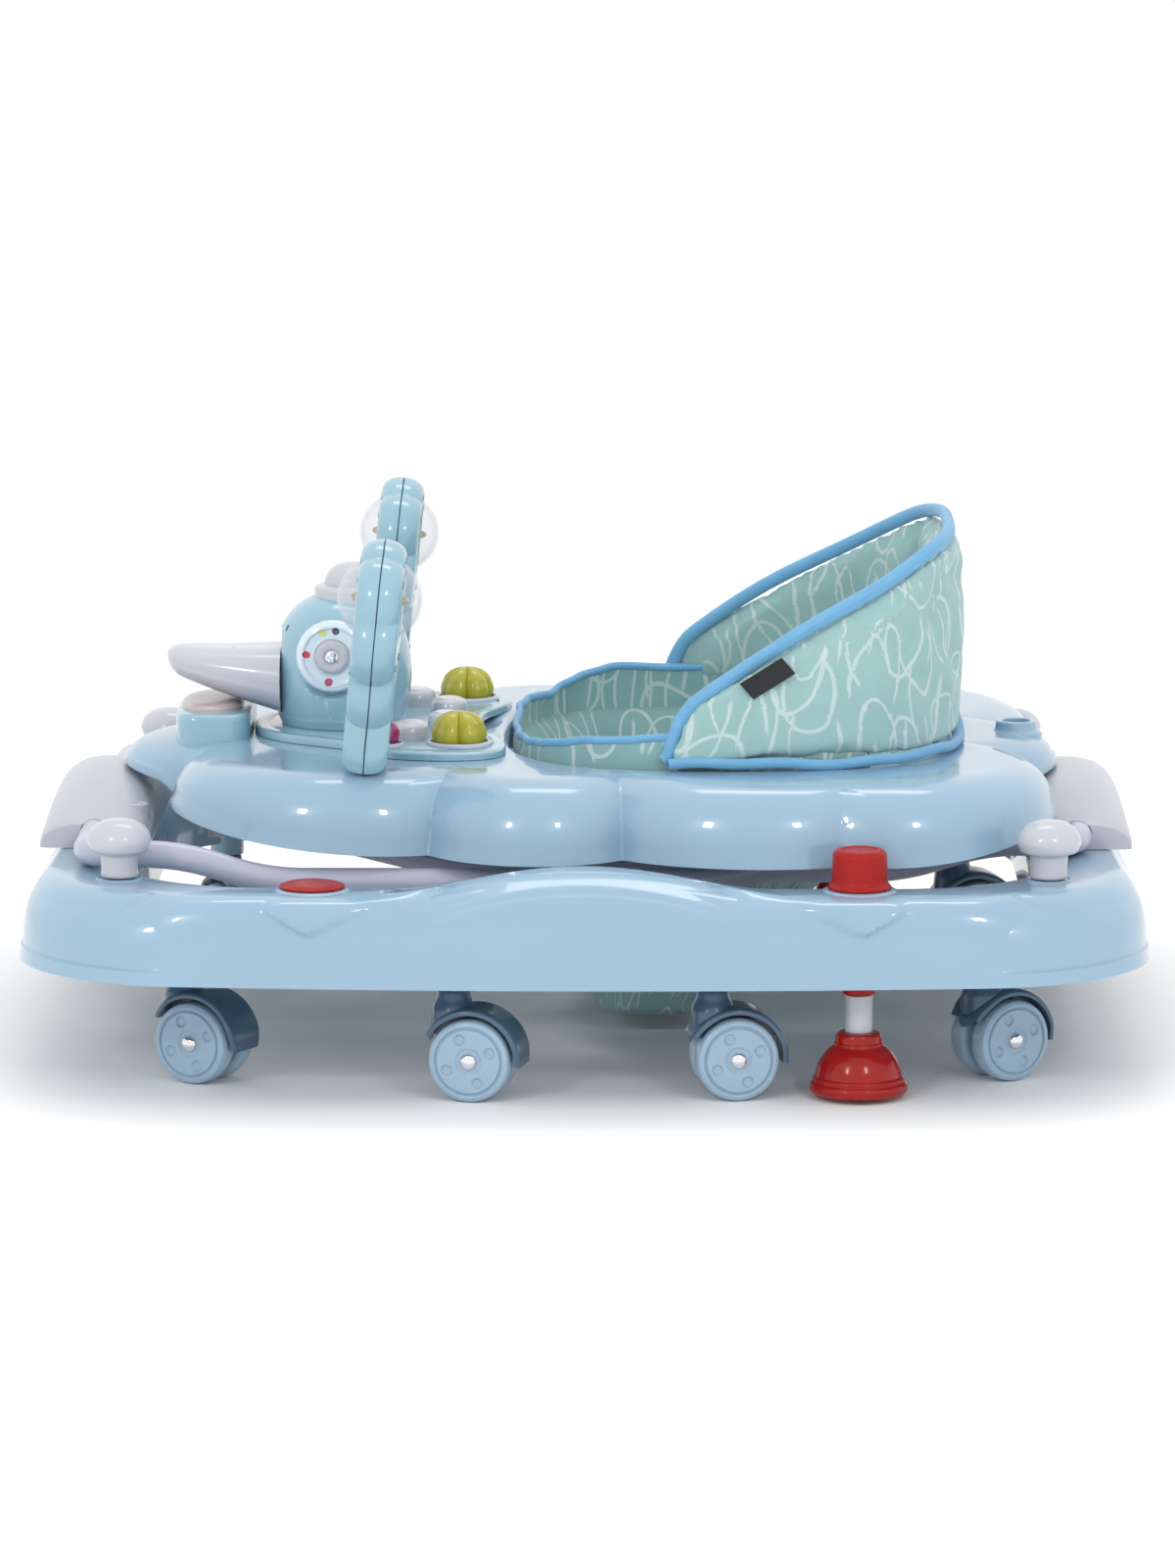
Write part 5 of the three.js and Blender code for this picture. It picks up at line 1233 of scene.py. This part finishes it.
# ------------------------------------------------------------ press keys
# White oval keys spring up out of the plate; each has a soft shoulder and a shallow dish on top.
for number, (x, y) in enumerate(KEYS, 1):
    low = CONSOLE_TOP - 1.6
    profile = rounded([(0, low), (1, low), (1, low + 7), (0.95, low + 9.5), (0.86, low + 11),
                       (0.55, low + 12.6), (0, low + 12.4)], 0.5)
    one = spun(profile, sides=96)
    one["points"] = one["points"] * np.array([12, 15, 1]) + np.array([x, y, 0])
    key = build(f"oval_key_{number}", [one], [white_plastic])
    fit(key, f"press_key_{number}", "white_plastic", f"press_key_{number}")

# ------------------------------------------------------------ duck head
# The duck's head is a tall aqua egg in two halves, with screw slots darkened as painted shade for their holes,
# a turned neck ring and a seam.
HEAD_X, HEAD_HEIGHT = -158, 84
EYE_X, EYE_Z, EYE_FACE = -162, 240, 43
# The dark finish of the screw slots and the arms' seam is painted shade for these recesses.
painted_recess_shade = moulded("painted_recess_shade", (0.05, 0.09, 0.12), 0.5)
head_points = np.array([(0.0, 0), (0.86, 0), (0.95, 0.14), (1, 0.34), (0.98, 0.52), (0.86, 0.74), (0.62, 0.9),
                        (0.32, 0.98), (0, 1)])


def through(points, samples):
    """A smooth curve through points: Catmull-Rom cubics at even shares of each span."""
    points = np.vstack([2 * points[0] - points[1], points, 2 * points[-1] - points[-2]])
    spans = len(points) - 3
    at = np.linspace(0, spans, samples)
    span = np.minimum(at.astype(int), spans - 1)
    share = (at - span)[:, None]
    p0, p1, p2, p3 = (points[span + k] for k in range(4))
    return 0.5 * (2 * p1 + (p2 - p0) * share + (2 * p0 - 5 * p1 + 4 * p2 - p3) * share ** 2
                  + (3 * p1 - p0 - 3 * p2 + p3) * share ** 3)


def head_grid():
    """An egg profile turned round and widened, pressed flat where each eye sits and cut square behind the
    beak."""
    side = through(head_points[1:], 72)
    side[-1, 0] = 0
    profile = np.vstack([[0, 0], side])
    turn = full_turn(160)
    x = HEAD_X + 45 * profile[:, 0] * np.cos(turn)
    y = 51 * profile[:, 0] * np.sin(turn)
    z = ON_CONSOLE + HEAD_HEIGHT * profile[:, 1] + 0 * turn
    gap = np.hypot(x - EYE_X, z - EYE_Z)
    flat = ease(-gap, -27.5, -25)
    y = np.where(np.abs(y) > EYE_FACE, y * (1 - flat) + np.sign(y) * EYE_FACE * flat, y)
    low = ease(-z, -ON_CONSOLE - 7, -ON_CONSOLE - 5.5)
    x, y = HEAD_X + (x - HEAD_X) * (1 + 0.015 * low), y * (1 + 0.015 * low)
    x = np.where((x < -195.8) & (z < 252) & (z > 199), -195.8, x)
    hat = ease(-np.hypot(x + 150, y), -15.8, -15.2)
    z = np.where(z > ON_CONSOLE + HEAD_HEIGHT - 5, z * (1 - hat) + (ON_CONSOLE + HEAD_HEIGHT - 4) * hat, z)
    return np.stack([x, y, z], -1)


def screw_slot(spot, facing, long=5.0, wide=2.2):
    """A small oval let into a surface: a shallow lens whose face looks along `facing`, in the dark finish that
    paints the shade of a screw hole.
    """
    facing = np.array(facing, float) / np.linalg.norm(facing)
    upright = np.array([0, 0, 1.0]) - facing * facing[2]
    upright /= np.linalg.norm(upright)
    beside = np.cross(facing, upright)
    turn = full_turn(32)
    ring = np.array([0, 0.5, 0.85, 1.0, 1.0])[None]
    rise = np.array([0.35, 0.35, 0.3, 0.1, -1.5])[None]
    grid = (np.array(spot, float) + (ring * np.cos(turn) * long / 2)[..., None] * upright
            + (ring * np.sin(turn) * wide / 2)[..., None] * beside + (rise + 0 * turn)[..., None] * facing)
    return shell(grid, loop_rows=True, finish=1)


head_shells = [shell(head_grid(), loop_rows=True)]
for side in (-1, 1):
    for x, z, reach in ((-192, 254, 0.86), (-130, 222, 0.92)):
        share = (z - ON_CONSOLE) / HEAD_HEIGHT
        radius = np.interp(share, head_points[:, 1], head_points[:, 0])
        y = 51 * math.sqrt(max(radius ** 2 - ((x - HEAD_X) / 45) ** 2, 0.01))
        head_shells.append(screw_slot((x, side * y, z), ((x - HEAD_X) / 45, side * y / 51, 0.35)))
head = build("duck_egg_head", head_shells, [aqua_plastic, painted_recess_shade])
fit(head, "tray", "aqua_plastic", "duck_head")


# ------------------------------------------------------------ duck beak and cap
# The flat white bill is a hollow moulding pushed into the head, with a parting line; the round cap sits on a
# step.
def beak_grid():
    """Flat oval sections from a rounded tip to a deep root, dished along the top."""
    share = np.concatenate([[0, 0.004, 0.012, 0.03, 0.06], np.linspace(0.1, 1, 34)])[:, None]
    x = -270 + 73.6 * share
    blunt = np.sqrt(np.clip(share / 0.1, 0, 1) * (2 - np.clip(share / 0.1, 0, 1)))
    width = 38 * (0.3 + 0.7 * np.sqrt(share)) * (0.35 + 0.65 * blunt)
    top, bottom = 240 + 2.5 * np.sqrt(share), 226 - 28 * share ** 0.8
    middle = (top + bottom) / 2 + 1.5 * (1 - blunt)
    half = (top - bottom) / 2 * (0.25 + 0.75 * blunt)
    turn = np.linspace(0, 2 * np.pi, 72, endpoint=False)[None]
    y = width * squared(np.cos(turn), 2.4)
    z = middle + half * squared(np.sin(turn), 2.4)
    groove = np.exp(-((np.abs(z - (middle - 0.1 * half)) / 1.0) ** 2)) * ease(share, 0.08, 0.14)
    y = y * (1 - 0.025 * groove)
    z = z - 2.2 * ease(np.sin(turn), 0.3, 1) * np.exp(-(y / 16) ** 2) * ease(share, 0.1, 0.6)
    return np.stack([x + 0 * turn, y, z], -1)


# The dark slot on the bill is painted shade for its screw hole.
beak_shells = [shell(beak_grid(), loop_columns=True, ends=True),
               screw_slot((-226, -12, 239.4), (0.1, -0.15, 1), 6, 2.6)]
beak = build("flat_beak", beak_shells, [white_plastic, painted_recess_shade])
fit(beak, "tray", "white_plastic", "duck_beak")
hat_low = ON_CONSOLE + HEAD_HEIGHT - 3.7
hat_step = [(0, hat_low - 8), (25, hat_low - 8), (25.5, hat_low + 6), (23.5, hat_low + 8), (19, hat_low + 8.5)]
hat = np.vstack([rounded(hat_step, 1.0), round_cap(19, hat_low + 8.5, 14, 20)[1:]])
hat[-1, 0] = 0
cap_piece = build("duck_round_cap", [spun(hat, (-150, 0, 0), 80)], [white_plastic])
fit(cap_piece, "tray", "white_plastic", "duck_hat")

# ------------------------------------------------------------ eye spinners
# Each eye is a clear ring with coloured spots that spins on a white hub, held by a chrome screw.
RING_R, RING_THICK, HUB_R = 23, 9, 11
clear_ring = Finish("printed_ring", (0.62, 0.74, 0.84), 0.12, Coat_Weight=0.6, Coat_Roughness=0.04)
ring_point = clear_ring.place()
across = clear_ring.along(ring_point, 0) - EYE_X * MM
upward = clear_ring.along(ring_point, 2) - EYE_Z * MM
base_tint = clear_ring.mixed(clear_ring.noise(ring_point, 40), (0.55, 0.70, 0.82, 1), (0.76, 0.83, 0.90, 1))
for angle, colour in ((175, (0.55, 0.02, 0.04)), (262, (0.45, 0.04, 0.16)), (112, (0.62, 0.66, 0.20)),
                      (82, (0.05, 0.05, 0.06)), (20, (0.80, 0.45, 0.10)), (320, (0.10, 0.35, 0.60))):
    spot_x, spot_z = 16.5 * MM * math.cos(math.radians(angle)), 16.5 * MM * math.sin(math.radians(angle))
    gap = ((across - spot_x) * (across - spot_x) + (upward - spot_z) * (upward - spot_z)).root()
    wave = clear_ring.noise(ring_point, 220) * 0.0016
    mark = 1 - clear_ring.step(gap + wave, 0.0030, 0.0036)
    base_tint = clear_ring.mixed(mark, base_tint, (*colour, 1))
edge = (across * across + upward * upward).root()
rings_mark = clear_ring.step(abs(edge - 0.0208), 0.0002, 0.0006)
clear_ring.feed(Base_Color=clear_ring.mixed(rings_mark, (0.80, 0.88, 0.93, 1), base_tint))


def on_eye(part, side):
    """Turns a shell that stands upright onto the eye's own axis, so it stands out from the side of the head."""
    x, y, z = part["points"].T
    part["points"] = np.stack([x + EYE_X, side * (z + EYE_FACE + 0.3), y + EYE_Z], -1)
    return part


for side, where in ((-1, "near"), (1, "far")):
    ring = rounded([(8.5, 0), (RING_R, 0), (RING_R, RING_THICK - 3), (RING_R - 1.2, RING_THICK - 1.2),
                    (RING_R - 4, RING_THICK), (18.4, RING_THICK - 0.2), (18, RING_THICK - 1.4),
                    (12.6, RING_THICK - 1.6), (12, RING_THICK - 0.6), (8.5, RING_THICK - 2), (8.5, 0)], 0.6)
    spinner = build(f"{where}_eye_ring", [on_eye(spun(ring, sides=96), side)], [clear_ring.material])
    fit(spinner, f"{where}_eye_spinner", "clear_plastic", f"{where}_eye_spinner")
    hub = rounded([(0, 0), (8, 0), (8, RING_THICK), (HUB_R, RING_THICK), (10.4, RING_THICK + 1.6),
                   (8.8, RING_THICK + 3),
                   (5.6, RING_THICK + 3.1), (5.0, RING_THICK + 2.2), (0, RING_THICK + 2.2)], 0.5)
    screw_head = on_eye(screw(0, 0, RING_THICK + 2.4, 4.4), side)
    eye_hub = build(f"{where}_eye_boss", [on_eye(spun(hub, sides=96), side), screw_head],
                    [white_plastic, chrome])
    fit(eye_hub, "tray", "white_plastic", f"{where}_eye_hub")

# ------------------------------------------------------------ cloud arms
# Two aqua cloud-shaped arms stand at the sides: each is two halves screwed together, with a round window that
# carries a clear globe on a pin.
ARM_X, ARM_Y, ARM_THICK, LEAN = -137, 165, 28, math.radians(5.5)
PUFFS = np.array([(0, 14, 27), (0, 50, 32), (-22, 82, 27), (22, 82, 27), (-20, 108, 27), (20, 108, 27),
                  (0, 116, 28)], float)
GLOBE_R, GLOBE_HEIGHT = 26.5, 107
WINDOW_R = GLOBE_R + 1


def leaning(grid, side):
    """Leans a shape back about the arm's foot and carries it to its side of the tray."""
    x, y, z = grid[..., 0], grid[..., 1], grid[..., 2]
    cos, sin = math.cos(LEAN), math.sin(LEAN)
    return np.stack([x * cos + z * sin + ARM_X, y + side * ARM_Y, np.maximum(-x * sin + z * cos, 0) + DECK], -1)


def arm_grid():
    """Rays from the window's centre reach the farthest puff: a section with full round edges joins the outline
    to the window, with a fine seam groove along the middle of the outer wall."""
    turn = full_turn(360)[:, 0]
    cos, sin = np.cos(turn)[:, None], np.sin(turn)[:, None]
    offset_y, offset_z = -PUFFS[:, 0][None], (GLOBE_HEIGHT - PUFFS[:, 1])[None]
    b = offset_y * cos + offset_z * sin
    root = b * b - (offset_y ** 2 + offset_z ** 2 - PUFFS[:, 2] ** 2)
    reach = np.where(root > 0, -b + np.sqrt(np.maximum(root, 0)), 0).max(1)
    floor_reach = np.where(sin[:, 0] < -1e-6, GLOBE_HEIGHT / np.maximum(-sin[:, 0], 1e-6), 1e9)
    reach = np.minimum(reach, floor_reach)[:, None]
    half = ARM_THICK / 2
    bend = np.linspace(0, np.pi / 2, 12)
    outer_curve = np.stack([-9 * (1 - np.sin(bend)), half * np.cos(bend) ** 0.9], -1)
    seam = np.array([(0, 1.2), (-0.1, 0.5), (-0.9, 0.25)])
    outer_half = np.vstack([outer_curve[:-1], seam])
    outer_all = np.vstack([outer_half, outer_half[::-1] * np.array([1, -1])])
    inner_all = np.array([(1.6, -half + 0.2), (0.5, -half + 1.2), (0, -half + 3), (0, -4), (0, 4),
                          (0, half - 3), (0.5, half - 1.2), (1.6, half - 0.2)])
    outer_r = reach + outer_all[:, 0][None]
    inner_r = WINDOW_R + inner_all[:, 0][None] + 0 * reach
    depth = np.concatenate([outer_all[:, 1], inner_all[:, 1]])[None] + 0 * reach
    radius = np.concatenate([np.maximum(outer_r, WINDOW_R + 0.6), inner_r], 1)
    return np.stack([depth, radius * cos, GLOBE_HEIGHT + radius * sin], -1)


def globe_skin(radius, hole=2.8):
    """A sphere about the pin's own axis, open where the pin goes through, with a seam bead round its middle."""
    turn = full_turn(96)
    start = math.asin(hole / radius)
    rise = np.linspace(start, np.pi - start, 60)[None]
    bead = 0.35 * np.exp(-((rise - np.pi / 2) / 0.02) ** 2) * (radius == GLOBE_R)
    ring = (radius + bead) * np.sin(rise)
    return np.stack([ring * np.cos(turn), -radius * np.cos(rise) + 0 * turn,
                     GLOBE_HEIGHT + ring * np.sin(turn)], -1)


clear_plastic = Finish("clear_plastic", (0.80, 0.86, 0.92), 0.05, Coat_Weight=0.8, Coat_Roughness=0.02)
clear_point = clear_plastic.place()
grazing = clear_plastic.node("ShaderNodeLayerWeight", inputs={"Blend": 0.32}, output="Facing")
clear_plastic.feed(
    Roughness=0.03 + clear_plastic.noise(clear_point, 60) * 0.05,
    Alpha=0.10 + grazing * grazing * 0.55,
)
printed_card = Finish("printed_card", (0.72, 0.42, 0.25), 0.5)
card_point = printed_card.place()
card_height = printed_card.along(card_point, 2)
card_side = abs(printed_card.along(card_point, 1)) - ARM_Y * MM
card_middle = (DECK + GLOBE_HEIGHT * math.cos(LEAN)) * MM
from_middle = ((card_height - card_middle) * (card_height - card_middle) + card_side * card_side).root()
picture = printed_card.mixed(printed_card.step(printed_card.noise(card_point, 75, 2.0), 0.44, 0.56),
                             (0.24, 0.30, 0.13, 1), (0.52, 0.24, 0.13, 1))
picture = printed_card.mixed(printed_card.step(printed_card.noise(card_point, 130, 2.0), 0.58, 0.62), picture,
                             (0.72, 0.62, 0.45, 1))
printed_card.feed(Base_Color=printed_card.mixed(printed_card.step(from_middle, 0.0150, 0.0156), picture,
                                                (0.34, 0.10, 0.05, 1)))

for side, where in ((-1, "near"), (1, "far")):
    arm_shells = [shell(leaning(arm_grid(), side), loop_rows=True, loop_columns=True)]
    # Each screw hole is a dark lens on both faces: painted shade for the hole.
    for y, z in ((-26, 68), (26, 68), (-30, 121), (30, 121), (0, 30)):
        for face in (-1, 1):
            spot = leaning(np.array([face * ARM_THICK / 2, y, z], float), side)
            arm_shells.append(screw_slot(spot, (face * math.cos(LEAN), 0, -face * math.sin(LEAN)), 4.6, 4.6))
    # A thin dark cord in the seam groove paints the seam's shade.
    seam = arm_grid()[:, 14]
    arm_shells.append(shell(leaning(swept(seam, circle(0.5, 8), closed=True), side), loop_rows=True,
                            loop_columns=True, finish=1))
    arm = build(f"{where}_cloud", arm_shells, [aqua_plastic, painted_recess_shade])
    fit(arm, "tray", "aqua_plastic", f"{where}_cloud_arm")

    turn = full_turn(96)
    skin = np.concatenate([globe_skin(GLOBE_R), globe_skin(GLOBE_R - 1.2)[:, ::-1]], 1)
    globe = build(f"{where}_clear_globe", [shell(leaning(skin, side), loop_rows=True, loop_columns=True)],
                  [clear_plastic.material])
    fit(globe, f"{where}_globe", "clear_plastic", f"{where}_globe")
    rim = rounded([(0, -1.5), (17, -1.5), (18, -0.8), (18, 0.8), (17, 1.5), (0, 1.5)], 0.5)
    radius, level = rim[:, 0][None], rim[:, 1][None] + GLOBE_HEIGHT
    card = np.stack([radius * np.cos(turn), radius * np.sin(turn), level + 0 * turn], -1)
    pin = swept([(0, y, GLOBE_HEIGHT) for y in np.linspace(-26.7, 26.7, 12)], circle(2.5, 24))
    disc = build(f"{where}_picture_disc", [shell(leaning(card, side), loop_rows=True),
                 shell(leaning(pin, side), loop_columns=True, ends=True, finish=1)],
                 [printed_card.material, white_plastic])
    fit(disc, f"{where}_globe", "print_disc", f"{where}_globe_disc")

# ------------------------------------------------------------ flower knobs and rolling ball
# Two yellow flower knobs click round on lilac cups, and a magenta ball rolls in its own cup.
FLOWER_X, FLOWER_Y = -80, 97
yellow_plastic = moulded("yellow_plastic", (0.46, 0.42, 0.025), 0.26, mottle=0.12, Coat_Weight=0.3,
                         Coat_Roughness=0.05)
magenta_plastic = moulded("magenta_plastic", (0.32, 0.008, 0.11), 0.16, mottle=0.1, Coat_Weight=0.5)
for side, where in ((-1, "near"), (1, "far")):
    turn = full_turn(160)
    level = np.linspace(0, 1, 34)[None]
    petal = np.abs(np.cos(2.5 * (turn - np.pi / 2))) ** 0.7
    edge = 13.2 + 4.8 * petal
    skirt = np.clip(level / 0.45, 0, 1)
    dome = np.clip((level - 0.45) / 0.55, 0, 1)
    radius = edge * (0.90 + 0.10 * np.sin(np.pi * skirt)) * (1 - dome ** 1.6)
    height = 12 * skirt + 9 * np.sin(dome * np.pi / 2) - 1.6 * (1 - petal) * np.sin(np.pi * dome)
    radius[:, -1] = 0
    flower = np.stack([radius * np.cos(turn), radius * np.sin(turn), height + 0 * turn], -1)
    base_point = np.zeros((160, 1, 3))
    flower = np.concatenate([base_point, flower], 1) + np.array([FLOWER_X, side * FLOWER_Y, ON_CONSOLE])
    knob = build(f"{where}_petal_knob", [shell(flower, loop_rows=True)], [yellow_plastic], sharp=60)
    fit(knob, f"{where}_flower_knob", "yellow_plastic", f"{where}_flower_knob")
rise = np.linspace(-0.78, np.pi / 2, 40)
ball_profile = np.stack([10 * np.cos(rise), 10 * np.sin(rise) + 7], -1)
ball_profile[-1, 0] = 0
ball_profile = np.vstack([[0, ball_profile[0, 1]], ball_profile])
ball = build("magenta_ball", [spun(ball_profile, (-127, -104, ON_CONSOLE), 72)], [magenta_plastic])
fit(ball, "toy_ball", "magenta_plastic", "toy_ball")
cup_finish = moulded("cup_plastic", (0.50, 0.55, 0.68), 0.24)
cup_shells = []
for x, y, radius in ((FLOWER_X, -FLOWER_Y, 20.5), (FLOWER_X, FLOWER_Y, 20.5), (-127, -104, 12.5)):
    level = CONSOLE_TOP - 0.2
    inner = radius - (2.6 if radius > 15 else 1.8)
    cup_shells.append(spun(rounded([(inner, level), (inner + 0.2, level + 2.2), (inner + 1, level + 2.8),
                                    (radius, level + 2),
                                    (radius + 0.6, level), (inner, level)], 0.6), (x, y, 0), 96))
cups = build("knob_cups", cup_shells, [cup_finish])
fit(cups, "tray", "white_plastic")
